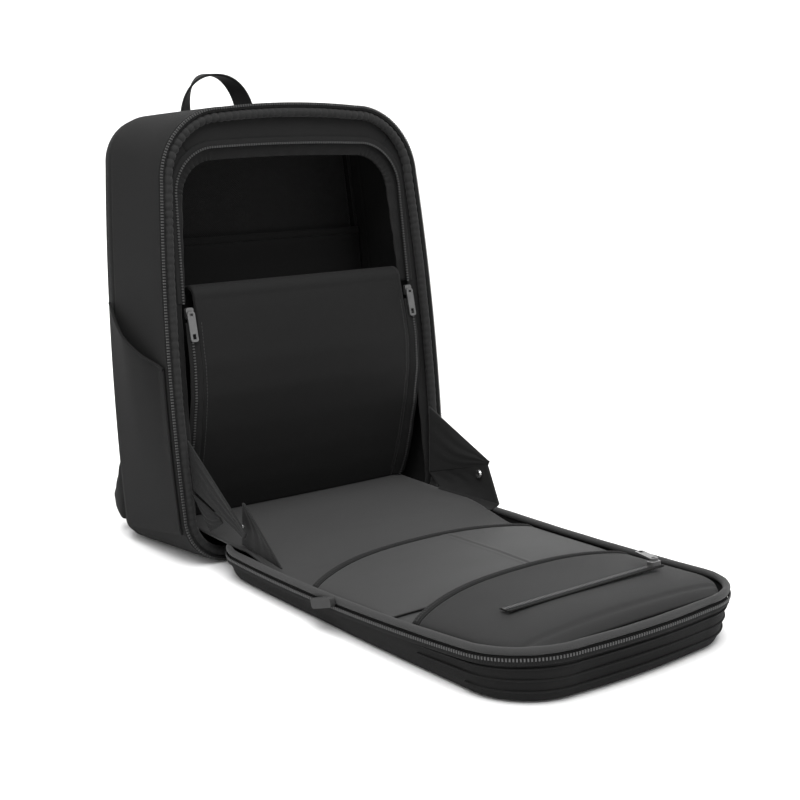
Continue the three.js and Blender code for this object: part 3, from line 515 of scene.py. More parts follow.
def tube(name, line, radius, finish, nodes=(), sides=12, up=(0, 0, 1)):
    """A round cord or roll along a line; its radius may change along the line."""
    line = np.asarray(line, float)
    run = np.gradient(line, axis=0)
    run = run / np.linalg.norm(run, axis=1, keepdims=True)
    side = np.cross(run, np.asarray(up, float))
    side = side / np.linalg.norm(side, axis=1, keepdims=True)
    top = np.cross(side, run)
    angle = np.arange(sides) / sides * 2 * pi
    radius = np.broadcast_to(np.asarray(radius, float).reshape(-1, 1), (len(line), sides))
    patch = line[:, None] + (radius * np.cos(angle))[..., None] * side[:, None]
    patch = patch + (radius * np.sin(angle))[..., None] * top[:, None]
    mesh, _, _ = mesh_of(name, [patch], around=True)
    return place_piece(name, mesh, finish, nodes)


def enamel(name, tone, rough=0.4, metallic=0.0):
    finish = Finish(name)
    place = finish.node("ShaderNodeTexCoord", 3)
    slow = finish.node("ShaderNodeTexNoise", Vector=place, Scale=160.0, Detail=3.0)
    colour = finish.mix(slow, grey(tone * 0.75), grey(tone * 1.25))
    scratch = finish.node("ShaderNodeTexNoise", Vector=place, Scale=900.0, Detail=2.0)
    bump = finish.node("ShaderNodeBump", Height=scratch, Strength=0.08, Distance=0.0002)
    finish.set(Base_Color=colour, Metallic=metallic, Roughness=slow * 0.2 + (rough - 0.1), Normal=bump)
    return finish


tooth = enamel("zip_teeth", 0.038, 0.45)
dull_tooth = enamel("lid_zip_teeth", 0.04, 0.5)
thread = enamel("thread", 0.016, 0.8)


def stitches(name, line, out):
    """A row of short stitches lying on the cloth."""
    centres = evenly(line, STITCH_PITCH)
    out = np.broadcast_to(np.asarray(out, float), centres.shape)
    return blocks(name, centres, np.gradient(centres, axis=0), out, STITCH, thread)


tape_section = bar(
    ((GAP + TAPE_WIDTH) / 2, (GAP + TEETH_PROUD) / 2), ((TAPE_WIDTH - GAP) / 2, (TEETH_PROUD - GAP) / 2)
)
cloth(
    "opening_tape",
    [follow(OPENING, ROUND_THE_OPENING, tape_section)],
    trim,
    "trim_tape",
    ["opening_zip_tape"],
    thickness=0,
    around=True,
    on=["shell_skin"],
)
zip_line = follow(OPENING, ROUND_THE_OPENING, [[1.5, TEETH_PROUD + 0.3]])[:, 0]
out_of_opening = np.array([0, -cos(LEAN), sin(LEAN)])
teeth("opening_teeth", zip_line, out_of_opening)

# The gathered roll: lining tape puckered on elastic, just inside the big zip.
ROLL_RADIUS = 4.6
ROLL_PROUD = -1.0
PUCKER_PITCH, PUCKER_DEPTH = 7.3, 2.1
roll_inset = TAPE_WIDTH + GAP + ROLL_RADIUS * cos(pi / 8)
roll_place = np.linspace(FOOT_END, PLACES - FOOT_END, 1500)
roll_line = follow(OPENING, roll_place, [[roll_inset, ROLL_PROUD]])[:, 0]
roll_run = np.concatenate([[0], np.cumsum(np.linalg.norm(np.diff(roll_line, axis=0), axis=1))])
corner = np.exp(-(((np.abs(roll_place - HALF) - 4.5) / 2.6) ** 2))
fold = np.abs(np.sin(pi * roll_run / PUCKER_PITCH + 1.4 * ripple(roll_run / 26, 0, 4.0)))
depth = (0.35 + 0.5 * corner) * (0.75 + 0.25 * ripple(roll_run / 17, 3, 1.0))
angle = np.arange(20) / 20 * 2 * pi
pucker = depth[:, None] * (1 - fold[:, None] ** 0.7) * (
    1 + 0.35 * np.sin(3 * angle + roll_run[:, None] / 9)
)
roll_radius = ROLL_RADIUS + 0.1 - PUCKER_DEPTH * pucker
section = np.stack(
    [roll_inset + roll_radius * np.cos(angle), ROLL_PROUD + roll_radius * np.sin(angle)], axis=-1
)
gathered = fabric("gathered_tape", 0.0145, pitch=0.6, weave=0.3, rough=0.8, sheen=0.06, mottle=0.25)
cloth(
    "gathered_tape_roll",
    [follow(OPENING, roll_place, section)],
    gathered,
    "lining_fabric",
    ["gathered_roll"],
    thickness=0,
    held="gathered",
    around=True,
    on=["opening_tape"],
)

# The facing: a frame of lining between the roll and the inner zip, mitred at its two upper corners. The
# inner zip is sewn to it, and a strip of lining hangs behind that zip.
INNER = dict(half_foot=142, half_top=131, height=396, foot=48, top=46, bulge=0, crown=1.85)
FACING_DEPTH = 8.0
FACING_BOW = 1.4
FACING_FROM = CORNER_END - 1
SLIDER_HEIGHT = 246.0
MITRE_DEPTH, MITRE_WIDTH, MITRE_HALF_LENGTH = 1.1, 1.3, 26
MITRES = [((124, 403), (109, 384)), ((-124, 403), (-109, 384))]
place, t = grid(560, 20)
place = lerp(FACING_FROM, PLACES - FACING_FROM, place)
outer = np.stack(edge(OPENING, place, WALL + GAP), axis=-1)
inner = np.stack(edge(INNER, place, 0), axis=-1)
at = lerp(outer, inner, t[..., None])
proud = -FACING_DEPTH + FACING_BOW * np.sin(pi * t)
proud = proud + 0.55 * np.sin(place * 9.5 + ripple(place, t, 3.0) * 2) * np.abs(2 * t - 1) ** 3
proud = proud + 0.5 * ripple(place * 1.1, t * 3, 5.0) * np.sin(pi * t)
for a, b in MITRES:
    a, b = np.array(a, float), np.array(b, float)
    run = (b - a) / np.linalg.norm(b - a)
    off = (at - a) @ np.array([-run[1], run[0]])
    near = np.exp(-(((at - (a + b) / 2) @ run / MITRE_HALF_LENGTH) ** 4))
    proud = proud - MITRE_DEPTH * np.exp(-((off / MITRE_WIDTH) ** 2)) * near
facing = fabric("facing_cloth", 0.0085, pitch=0.8, weave=0.3, rough=0.82, sheen=0.05)
cloth(
    "facing_cloth",
    [in_opening(at[..., 0], at[..., 1], proud)],
    facing,
    "lining_fabric",
    ["facing_panel"],
    thickness=1.5,
    on=["gathered_tape_roll"],
)
ABOVE_SLIDER = 4
places_fine = np.linspace(FOOT_END, PLACES - FOOT_END, 4000)
above = edge(INNER, places_fine, 0)[1] > SLIDER_HEIGHT + ABOVE_SLIDER
inner_place = places_fine[above][::3]
zip_proud = -FACING_DEPTH + 0.8 * FACING_BOW + GAP
cloth(
    "inner_tape",
    [follow(INNER, inner_place, bar((-1.5, zip_proud + 0.6), (3.5, 0.6)))],
    facing,
    "trim_tape",
    ["inner_zip_tape"],
    thickness=0,
    around=True,
    on=["facing_cloth"],
)
inner_line = follow(INNER, inner_place, [[1.2, zip_proud + 1.5]])[:, 0]
teeth("inner_teeth", inner_line, out_of_opening, size=(1.3, 2.0, 1.2))
HEM_OUTER, HEM_AT_SLIDER, HEM_AT_TOP = -8.0, 7.5, 13.0
hang_place, t = inner_place[::2][:, None], np.linspace(0, 1, 16)[None]
hang = lerp(
    HEM_AT_SLIDER, HEM_AT_TOP, smooth(edge(INNER, hang_place, 0)[1], SLIDER_HEIGHT, INNER["height"])
)
hem_depth = FACING_DEPTH + 1.6 + GAP + 0.8
wave = np.sin(hang_place * 13 + 1.5 * ripple(hang_place * 2, 0, 2.0)) * smooth(t, 0.45, 1.0)
inset = lerp(HEM_OUTER, hang, t)
proud = -hem_depth - 2.0 * smooth(t, 0.5, 1) - 1.0 * (0.5 + 0.5 * wave)
cloth(
    "hanging_hem",
    [in_opening(*edge(INNER, hang_place, inset), proud)],
    facing,
    "lining_fabric",
    ["hem_strip"],
    thickness=1.2,
    held="gathered",
    on=["facing_cloth"],
)

# The padded back, with a slip pocket on its inside whose upper edge is bound with elastic. Piping covers
# the inner corners beside it.
BACK_PADDING = 12.0
CHANNEL_DEPTH, CHANNEL_HALF = 1.2, 9
CORNER_PIPING_RADIUS = 1.5
BACK_INSET = REAR_TUCK + WALL - 0.9
BACK = dict(
    half_foot=REAR["half_foot"] - BACK_INSET,
    half_top=REAR["half_top"] - BACK_INSET,
    height=REAR["height"] - 2 * BACK_INSET,
    foot=6,
    top=REAR["top"] - BACK_INSET,
    bulge=5.4,
    crown=3.7,
)
u, v = grid(60, 90)
s = v * BACK["height"]
x = (2 * u - 1) * half_width(BACK, np.clip(s, 0.5, BACK["height"] - 0.5))
soft = (1 - (2 * u - 1) ** 10) * (1 - (2 * v - 1) ** 14)
out = 0.6 + 1.9 * soft
channel = np.exp(-((x / CHANNEL_HALF) ** 2)) * smooth(v, 0.2, 0.3)
out = out - CHANNEL_DEPTH * channel
back_mesh, _, _ = mesh_of("padded_back", [in_rear(x, s + BACK_INSET, out)])
spacer = fabric("spacer_mesh", 0.012, pitch=2.4, weave=0.9, rough=0.9, sheen=0.04)
back = place_piece(
    "padded_back", back_mesh, spacer, ["back_panel"], BACK_PADDING, 1, lining
)

SLIP_TOP, SLIP_FOOT, SLIP_STAND = 288.0, 14.0, 8.0
BINDING_WIDTH = 7.0


def inside_half(s):
    return half_width(REAR, s) - REAR_TUCK * 0.25 - WALL - GAP - 0.5


def slip(u, s, v):
    belly = np.sqrt(np.maximum(1 - (2 * u - 1) ** 6, 0))
    out = -BACK_PADDING - (GAP + 0.9 + SLIP_STAND * belly * (0.25 + 0.75 * v)) + 0.3 * ripple(
        u * 6, v * 4, 7.0
    )
    return in_rear((2 * u - 1) * inside_half(s), s, out)


u, v = grid(70, 60)
cloth(
    "slip_pocket_cloth",
    [slip(u, lerp(SLIP_FOOT, SLIP_TOP, v), v)],
    lining,
    "lining_fabric",
    ["slip_pocket"],
    on=["padded_back"],
)
binding = fabric("elastic_binding", 0.0065, pitch=1.6, weave=0.7, rough=0.85, sheen=0.05)
u, v = grid(120, 8)
strip = slip(u, SLIP_TOP + GAP + v * BINDING_WIDTH, 1.0 + 0 * v)
strip[..., 1] -= 0.5 * np.sin(pi * v)
cloth(
    "slip_pocket_tape",
    [strip],
    binding,
    "binding_mesh",
    ["slip_pocket_binding"],
    thickness=2.0,
    on=["slip_pocket_cloth"],
)
piping_place = np.linspace(CORNER_END + 2.2, SIDE_END + 0.6, 80)
for name, places in (("left", piping_place), ("right", PLACES - piping_place)):
    line = on_body(places, 0.9, WALL + 4.0)
    tube(f"corner_piping_{name}", line, CORNER_PIPING_RADIUS, facing, up=(0, 1, 0))

# The divider: a padded panel zipped into the inner opening as far as the sliders. Its upper part is folded
# back and hangs inside. A zip tape runs down each side of it.
FLAP_HALF, FOLD_HEIGHT, FLAP_THICK, FLAP_TAIL, FOLD_RADIUS = 124.0, 261.0, 4.0, 140.0, 11.0
LINER_HEIGHT, LINER_THICK = 32.4, 2.0
FLAP_FOOT = LINER_HEIGHT + LINER_THICK / 2 + 0.4 + GAP
FLAP_ROWS = [
    dict(at=0, behind=47.5),
    dict(at=0.12, behind=34.4),
    dict(at=0.25, behind=22.9),
    dict(at=0.42, behind=10.4),
    dict(at=0.58, behind=1.2),
    dict(at=0.72, behind=-1.5),
    dict(at=0.86, behind=0.7),
    dict(at=0.95, behind=2.9),
    dict(at=1, behind=5),
]
FRONT_LENGTH = FOLD_HEIGHT - FOLD_RADIUS - FLAP_FOOT
FOLD_LENGTH = pi * FOLD_RADIUS


def flap_y(along):
    return FOOT_Y + (FLAP_FOOT + along) * tan(LEAN) + read(FLAP_ROWS, "behind", along / FRONT_LENGTH)


def flap_middle(v):
    along = v * (FRONT_LENGTH + FOLD_LENGTH + FLAP_TAIL)
    turn = np.clip((along - FRONT_LENGTH) / FOLD_RADIUS, 0, pi)
    hang = np.maximum(along - FRONT_LENGTH - FOLD_LENGTH, 0)
    fold_y = flap_y(FRONT_LENGTH)
    y = np.where(
        along < FRONT_LENGTH,
        flap_y(np.minimum(along, FRONT_LENGTH)),
        fold_y + FOLD_RADIUS * (1 - np.cos(turn)),
    )
    z = np.minimum(FLAP_FOOT + along, FOLD_HEIGHT - FOLD_RADIUS) + FOLD_RADIUS * np.sin(turn) - hang
    return y + 0.12 * hang, z


u, v = grid(60, 200)
y, z = flap_middle(v)
narrow = 1 - 0.012 * smooth(v, 0.42, 0.55)
cup = 1.2 * (2 * u - 1) ** 8 * (1 - smooth(v, 0.5, 0.56))
dents = 0.7 * ripple(u * 5, v * 9, 6.0) * (1 - (2 * u - 1) ** 8) * (1 - 0.6 * smooth(v, 0.35, 0.5))
flap_cloth = fabric("divider_cloth", 0.0058, pitch=0.8, weave=0.28, rough=0.72, sheen=0.03)
flap = point((2 * u - 1) * FLAP_HALF * narrow, y + cup + dents, z)
mesh, _, _ = mesh_of("divider_panel", [flap])
for name, column in (("left", 1), ("right", -2)):
    line = flap[column, 5:100] - np.array([0, FLAP_THICK / 2 - 0.1, 0])
    stitches(f"divider_stitches_{name}", line, (0, -1, 0))
divider = place_piece(
    "divider_panel", mesh, flap_cloth, ["divider_flap"], FLAP_THICK - 0.6, 0
)

TAPE_BELOW_SLIDER = 16.0
flap_top = SLIDER_HEIGHT - TAPE_BELOW_SLIDER
for name, side in (("left", -1), ("right", 1)):
    u, v = grid(12, 160)
    z = lerp(FLAP_FOOT, flap_top, v)
    inner = FLAP_HALF + GAP
    outer = half_width(INNER, z / cos(LEAN)) - GAP
    y = flap_y(z - FLAP_FOOT)
    strip = point(
        side * lerp(inner, outer, u), y - 1.5 * np.sin(pi * u) + 0.4 * ripple(v * 20, u, 3.0), z
    )
    cloth(
        f"divider_tape_{name}",
        [strip],
        trim,
        "trim_tape",
        [f"flap_tape_{name}"],
        thickness=1.4,
        on=["divider_panel"],
    )
    line = strip[7, :, :] - np.array([0, 1.0, 0])
    teeth(f"divider_teeth_{name}", line, (0, -1, 0), size=(1.2, 2.0, 1.1))

# The side pockets: a panel sewn over the lower half of each side, with a turned edge at its slanting mouth.
POCKET_MOUTH = [
    dict(at=0, s=190), dict(at=0.3, s=199), dict(at=0.6, s=212), dict(at=0.82, s=226), dict(at=1, s=240)
]
POCKET_SHARES = (0.03, 0.84)
POCKET_FOOT = CORNER_END - 0.8
POCKET_PUFF, POCKET_HEM_RADIUS = 8.0, 1.5


def place_at(shape, s):
    return CORNER_END + (SIDE_END - CORNER_END) * (s - shape["foot"]) / (
        shape["height"] - shape["foot"] - shape["top"]
    )


def pocket(u, v, lift=0.0):
    share = lerp(*POCKET_SHARES, u)
    mouth = read(POCKET_MOUTH, "s", u)
    mouth_place = lerp(place_at(OPENING, mouth), place_at(REAR, mouth), share)
    puff = POCKET_PUFF * np.sin(pi * np.clip(u * 1.1 - 0.1, 0, 1)) * v**3
    stand = GAP + 1.3 + puff + 0.35 * ripple(u * 6, v * 6, 9.0) * v * (1 - np.abs(2 * u - 1)) + lift
    return on_body(lerp(POCKET_FOOT, mouth_place, v), share, -stand)


for name, side in (("left", 1), ("right", -1)):
    u, v = grid(60, 70)
    shape_points = pocket(u, v) * np.array([side, 1, 1])
    cloth(
        f"side_pocket_cloth_{name}",
        [shape_points],
        shell,
        "shell_fabric",
        [f"side_pocket_{name}"],
        on=["shell_skin"],
    )
    mouth = pocket(np.linspace(0, 1, 120), 1.0 + np.zeros(120), 0.3) * np.array([side, 1, 1])
    tube(f"side_pocket_hem_{name}", mouth, POCKET_HEM_RADIUS, shell, up=(1, 0, 0))

# The carry handle: one length of webbing, sewn into the rear seam of the top and twisted into a loop.
HANDLE = dict(width=20.0, thick=2.4, span=64.0, rise=38.0, aside=-10.0, sewn_below=9.0)
t = np.linspace(0, 1, 90)
angle = pi * t
rear_top = in_rear(0, REAR["height"] + REAR["crown"], 0)
swing = np.sign(np.cos(angle)) * np.abs(np.cos(angle)) ** 0.8 * (1 + 0.12 * np.cos(angle) ** 2)
line = point(
    HANDLE["aside"] - HANDLE["span"] / 2 * swing,
    rear_top[1] + 2.6 + HANDLE["thick"] + 8 * np.sin(angle),
    rear_top[2] - HANDLE["sewn_below"] + (
        HANDLE["rise"] + HANDLE["sewn_below"]
    ) * np.sin(angle) ** 0.85,
)
turn = np.radians(30 + 120 * t)
across = point(np.cos(turn), np.sin(turn), 0)
u = np.linspace(-0.5, 0.5, 12)
strip = line[:, None] + across[:, None] * (u * HANDLE["width"])[None, :, None]
cloth(
    "handle_webbing",
    [strip],
    trim,
    "trim_tape",
    ["handle"],
    thickness=HANDLE["thick"],
    on=["shell_skin"],
)

# The lumbar pad across the foot of the back, and the two padded shoulder straps. Each is swollen by a short
# cloth simulation, from a slightly smaller solid.
PRESSURE = 4.0
SIM_FRAMES = 20


def solid_mesh(name, rings):
    """A closed mesh through rings of points, its two ends filled."""
    mesh, _, _ = mesh_of(name, [rings], around=True)
    shape = bmesh.new()
    shape.from_mesh(mesh)
    edges = [e for e in shape.edges if e.is_boundary]
    bmesh.ops.holes_fill(shape, edges=edges, sides=0)
    bmesh.ops.triangulate(shape, faces=[f for f in shape.faces if len(f.verts) > 4])
    bmesh.ops.recalc_face_normals(shape, faces=shape.faces)
    shape.to_mesh(mesh)
    shape.free()
    return mesh


def apply_modifiers(piece):
    graph = bpy.context.evaluated_depsgraph_get()
    made = bpy.data.meshes.new_from_object(piece.evaluated_get(graph))
    piece.modifiers.clear()
    piece.data = made


def swell(piece, voxel, cap):
    """Remeshes a pad and lets air pressure fill it, then limits how far each point has moved."""
    remesh = piece.modifiers.new("remesh", "REMESH")
    remesh.mode = "VOXEL"
    remesh.voxel_size = voxel * MM
    apply_modifiers(piece)
    count = len(piece.data.vertices)
    start = np.zeros(count * 3)
    piece.data.vertices.foreach_get("co", start)
    soft = piece.modifiers.new("cloth", "CLOTH")
    soft.settings.use_pressure = True
    soft.settings.uniform_pressure_force = PRESSURE
    soft.settings.effector_weights.gravity = 0
    soft.settings.quality = 5
    soft.collision_settings.use_collision = False
    soft.point_cache.frame_start = 1
    soft.point_cache.frame_end = SIM_FRAMES
    for number in range(1, SIM_FRAMES + 1):
        bpy.context.scene.frame_set(number)
    apply_modifiers(piece)
    end = np.zeros(count * 3)
    piece.data.vertices.foreach_get("co", end)
    move = (end - start).reshape(-1, 3)
    length = np.linalg.norm(move, axis=1, keepdims=True)
    move = move * np.minimum(1, cap * MM / np.maximum(length, 1e-9))
    piece.data.vertices.foreach_set("co", (start.reshape(-1, 3) + move).ravel())
    piece.data.update()


def finish_pad(piece, material):
    piece.data.materials.clear()
    piece.data.materials.append(material)
    piece.data.polygons.foreach_set("use_smooth", [True] * len(piece.data.polygons))
    piece.modifiers.new("smooth", "SUBSURF").levels = 1
    piece.modifiers["smooth"].render_levels = 1


def pad(name, rings, finish, nodes, voxel, cap):
    piece = place_piece(name, solid_mesh(name, rings), finish)
    swell(piece, voxel, cap)
    finish_pad(piece, finish.material)
    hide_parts(*nodes)


pad_canvas = fabric("pad_canvas", 0.012, pitch=1.0, weave=0.3, rough=0.82, sheen=0.04)
# A remeshed pad has no UV map, so its weave lies along the pad's own coordinates.
pad_place = pad_canvas.node("ShaderNodeTexCoord", 3)
for link in list(pad_canvas.tree.links):
    if link.from_node.type == "UVMAP":
        pad_canvas.tree.links.new(pad_place.socket, link.to_socket)
LUMBAR_ROWS = [
    dict(at=0, s=9, thick=12),
    dict(at=0.2, s=18, thick=27),
    dict(at=0.45, s=34, thick=33),
    dict(at=0.75, s=60, thick=20),
    dict(at=1, s=88, thick=5),
]
LUMBAR_HALF, LUMBAR_FRONT, LUMBAR_SHRINK = 157.0, 2.5 + GAP, 2.0
u = np.linspace(-1, 1, 40)[:, None] * (LUMBAR_HALF - 2.5)
rows = np.linspace(0, 1, 18)[None]
ends = np.sqrt(1 - (0.94 * u / LUMBAR_HALF) ** 6)
s = read(LUMBAR_ROWS, "s", rows)
thick = (read(LUMBAR_ROWS, "thick", rows) - 3.5) * (0.35 + 0.65 * ends)
front = in_rear(u, s, LUMBAR_FRONT + LUMBAR_SHRINK + thick)
rear = in_rear(u, s, LUMBAR_FRONT + LUMBAR_SHRINK)
pad(
    "lumbar_cushion",
    np.concatenate([front, rear[:, ::-1]], axis=1),
    pad_canvas,
    ["lumbar_pad"],
    5,
    3.0,
)

STRAP_ROWS = [
    dict(at=0, x=42, out=3.1, s=388, width=1.0),
    dict(at=0.12, x=44, out=9, s=356, width=1.0),
    dict(at=0.4, x=58, out=16, s=274, width=0.95),
    dict(at=0.7, x=80, out=22, s=186, width=0.82),
    dict(at=1, x=96, out=33, s=118, width=44 / 62),
]
STRAP_PADDING, STRAP_WIDTH, STRAP_SHRINK = 11.0, 62.0, 1.2
for name, side in (("left", -1), ("right", 1)):
    t = np.linspace(0.008, 0.992, 60)
    line = in_rear(
        side * read(STRAP_ROWS, "x", t), read(STRAP_ROWS, "s", t), read(
            STRAP_ROWS, "out", t
        ) + STRAP_PADDING / 2
    )
    run = np.gradient(line, axis=0)
    run = run / np.linalg.norm(run, axis=1, keepdims=True)
    across = np.array([1.0, 0, 0]) - run * run[:, :1]
    across = across / np.linalg.norm(across, axis=1, keepdims=True)
    out = np.cross(across, run)
    half = (STRAP_WIDTH / 2 * read(STRAP_ROWS, "width", t) - STRAP_SHRINK)[:, None]
    oval = bar((0, 0), (1, 1), 20, 0.7)
    ring = line[:, None] + (half * oval[:, 0])[..., None] * across[:, None]
    ring = ring + (STRAP_PADDING / 2 - STRAP_SHRINK) * oval[None, :, 1:] * out[:, None]
    pad(f"padded_strap_{name}", ring, pad_canvas, [f"shoulder_strap_{name}"], 4.5, 1.6)

# The lid: a shallow tray of the outer canvas. Its rim is piped, the lid's half of the big zip runs under the
# piping, and three welts run round its far wall.
RIM_NEAR, RIM_FAR, RIM_SAG, TUCK = 31.0, 49.0, 6.0, 8.0
RIM_ROLL = 3.3
ROLL_DROP = 2 * RIM_ROLL + GAP
LID = dict(half_foot=144, half_top=133.65, height=419.04, foot=43.2, top=63, bulge=2.7, crown=3.7)
LID_START = FOOT_Y - 19.0
FLOOR_INSET, TRAY_LIFT = 12, 0.15
HINGE_HALF, HINGE_HEIGHT = 98, 1.7


def rim_height(s):
    share = np.clip(s / LID["height"], 0, 1)
    return lerp(RIM_NEAR, RIM_FAR, share) - RIM_SAG * 4 * share * (1 - share)


def in_lid(place, inset, height):
    """height is a function of the distance from the hinge."""
    x, s = edge(LID, place, inset)
    return point(x, LID_START - s, height(s))


TRAY = [
    dict(at=0, inset=TUCK + 4, share=0),
    dict(at=0.14, inset=TUCK, share=0.05),
    dict(at=0.3, inset=TUCK * 0.6, share=0.25),
    dict(at=0.6, inset=TUCK * 0.3, share=0.58),
    dict(at=1, inset=0, share=1),
]
place, w = grid(400, 30)
place = place[:-1] * PLACES
w = w[:-1]
x, s = edge(LID, place, 0)
wall_height = rim_height(s) - ROLL_DROP
slump = 0.9 * ripple(place * 1.3, w * 2.5, 8.0) * np.sin(pi * w)
inset = read(TRAY, "inset", w) + np.maximum(slump, -0.4)
x, s = edge(LID, place, inset)
tray_wall = point(x, LID_START - s, read(TRAY, "share", w) * wall_height + TRAY_LIFT)
u, v = grid(30, 60)
floor_shape = dict(
    LID,
    half_foot=LID["half_foot"] - FLOOR_INSET,
    half_top=LID["half_top"] - FLOOR_INSET,
    height=LID["height"] - 2 * FLOOR_INSET,
    foot=32,
    top=LID["top"] - FLOOR_INSET,
)
s = v * floor_shape["height"]
x = (2 * u - 1) * half_width(floor_shape, np.clip(s, 0.3, floor_shape["height"] - 0.3))
tray_floor = point(x, LID_START - FLOOR_INSET - s, TRAY_LIFT)
ring = np.concatenate([tray_wall, tray_wall[:1]], axis=0)
cloth(
    "lid_tray",
    [tray_floor, ring],
    shell,
    "shell_fabric",
    ["lid_shell"],
    thickness=2.4,
    offset=-1,
    on=["floor"],
    inside=lining,
)
cloth(
    "lid_hinge",
    [point((2 * u - 1) * HINGE_HALF, lerp(FOOT_Y - GAP, LID_START - TUCK + 1, v), HINGE_HEIGHT)],
    shell,
    "shell_fabric",
    ["hinge_panel"],
    thickness=1.8,
    on=["shell_skin", "lid_tray"],
)

rim_place = np.linspace(FOOT_END, PLACES - FOOT_END, 900)
rim_line = in_lid(rim_place, RIM_ROLL * 0.5, lambda s: rim_height(s) - RIM_ROLL)
wobble = 1 + 0.05 * ripple(rim_place * 3.0, 0, 2.0)
tube(
    "lid_piping", rim_line, RIM_ROLL * wobble * 0.97, piping, ["lid_rim_roll"], sides=16
)
LID_TAPE_WIDTH, LID_TAPE_DROP = 6, ROLL_DROP + 1


def under_rim(drop):
    return lambda s: rim_height(s) - LID_TAPE_DROP - drop


tape = np.stack(
    [
        in_lid(
            rim_place, -GAP - 0.9 + 0.4 * k, under_rim(LID_TAPE_WIDTH * k)
        ) for k in np.linspace(0, 1, 6)
    ],
    axis=1,
)
cloth("lid_tape", [tape], trim, "trim_tape", ["lid_zip_tape"], thickness=1.0, on=["lid_tray"])
lid_teeth_line = tape[:, 1]
centre_line = in_lid(rim_place, 30, rim_height)
outwards = lid_teeth_line - centre_line
outwards[:, 2] = 0
teeth_at = evenly(lid_teeth_line, TOOTH_PITCH)
spread = np.linspace(0, 1, len(teeth_at)) * (len(outwards) - 1)
outwards = np.stack(
    [np.interp(spread, np.arange(len(outwards)), outwards[:, i]) for i in range(3)], axis=-1
)
outwards /= np.linalg.norm(outwards, axis=1, keepdims=True)
blocks(
    "lid_teeth", teeth_at + outwards * 0.5, np.gradient(teeth_at, axis=0), outwards, (
        1.25, 2.4, 1.2
    ), dull_tooth
)
RIDGES = [
    dict(name="upper", height=0.74, start=11, stop=27),
    dict(name="middle", height=0.5, start=11, stop=26),
    dict(name="lower", height=0.26, start=12, stop=26),
]
RIDGE_RADIUS = 0.95
for row in RIDGES:
    name, height = row["name"], row["height"]
    line = in_lid(
        np.linspace(row["start"], row["stop"], 320),
        lerp(TUCK * 0.9, 0, height**0.8) - 0.6,
        lambda s: (rim_height(s) - ROLL_DROP) * height,
    )
    tube(f"lid_ridge_{name}", line, RIDGE_RADIUS, shell, [f"lid_welt_{name}"], sides=8)

# The lining of the lid, seamed across its middle, with two arched slip pockets on it and a zip pocket at the
# far end. Each pocket's near edge is bound with elastic.
LINER_INSET, LINER_DROP, LINER_DROP_POCKETS = 7.9, 6.5, 9.0
LINER = dict(
    LID,
    half_foot=LID["half_foot"] - LINER_INSET,
    half_top=LID["half_top"] - LINER_INSET,
    height=LID["height"] - LINER_INSET,
    top=LID["top"] - LINER_INSET,
)


def panel_z(y):
    return rim_height(LID_START - y) - LINER_DROP


def liner_z(y):
    s = LID_START - y
    drop = lerp(LINER_DROP, LINER_DROP_POCKETS, smooth(s, 88, 112))
    return lerp(LINER_HEIGHT, rim_height(s) - drop, smooth(s, 46, 104))


def liner_half(y):
    s = LID_START - y
    beyond_foot = np.minimum(
        LINER["half_foot"], half_width(LINER, np.minimum(s, LINER["height"] - 0.2))
    )
    return np.where(s < LID["foot"], LINER["half_foot"], beyond_foot)


organizer = fabric(
    "organizer_cloth", 0.0235, pitch=0.7, weave=0.22, rough=0.62, sheen=0.08, mottle=0.12, gloss=0.2
)
liner_start = flap_y(0) - FLAP_THICK / 2 + 6
u, v = grid(80, 130)
y = lerp(liner_start, LID_START - (LINER["height"] - 1), 1 - (1 - v) ** 1.35)
sag = 0.7 * ripple(u * 5, v * 7, 3.0) * np.sin(pi * u) * smooth(v, 0.02, 0.1)
near_rim = 1.2 * (2 * u - 1) ** 16
liner = point((2 * u - 1) * liner_half(y), y, liner_z(y) - np.maximum(sag, -0.1) - near_rim)
cloth(
    "lid_lining", [liner], organizer, "organizer_fabric", ["lid_liner"], thickness=1.8, on=["lid_tray"]
)

POCKET_ROWS = [
    dict(name="middle", near=0.271, ends=0.098, crown=0.1, far=0.62, stand=6.4),
    dict(name="end", near=0.61, ends=0.08, crown=0.16, far=0.965, stand=12),
]
end_cloth = fabric(
    "organizer_end", 0.0125, pitch=0.7, weave=0.25, rough=0.72, sheen=0.05, mottle=0.12, gloss=0.15
)
SEAM_X = 42.0
POCKET_SEAT = (LINER_THICK + 2.4) / 2


def arch(row, u):
    return row["near"] + row["ends"] * (np.abs(2 * u - 1 - row["crown"]) / (1 + row["crown"])) ** 2.3


def pocket_surface(row, u, share, v):
    y = LID_START - share * LID["height"]
    x = (2 * u - 1) * (liner_half(y) - 1.5)
    up = np.sin(pi * np.clip(u, 0, 1)) ** 0.35 * (1 - v**10)
    z = lerp(liner_z(y) + POCKET_SEAT, panel_z(y) + row["stand"], up)
    soft = 0.6 * ripple(u * 5, share * 22, 4.0 + row["far"]) * np.sin(pi * u)
    return x, y, z + soft * (1 - v**6)


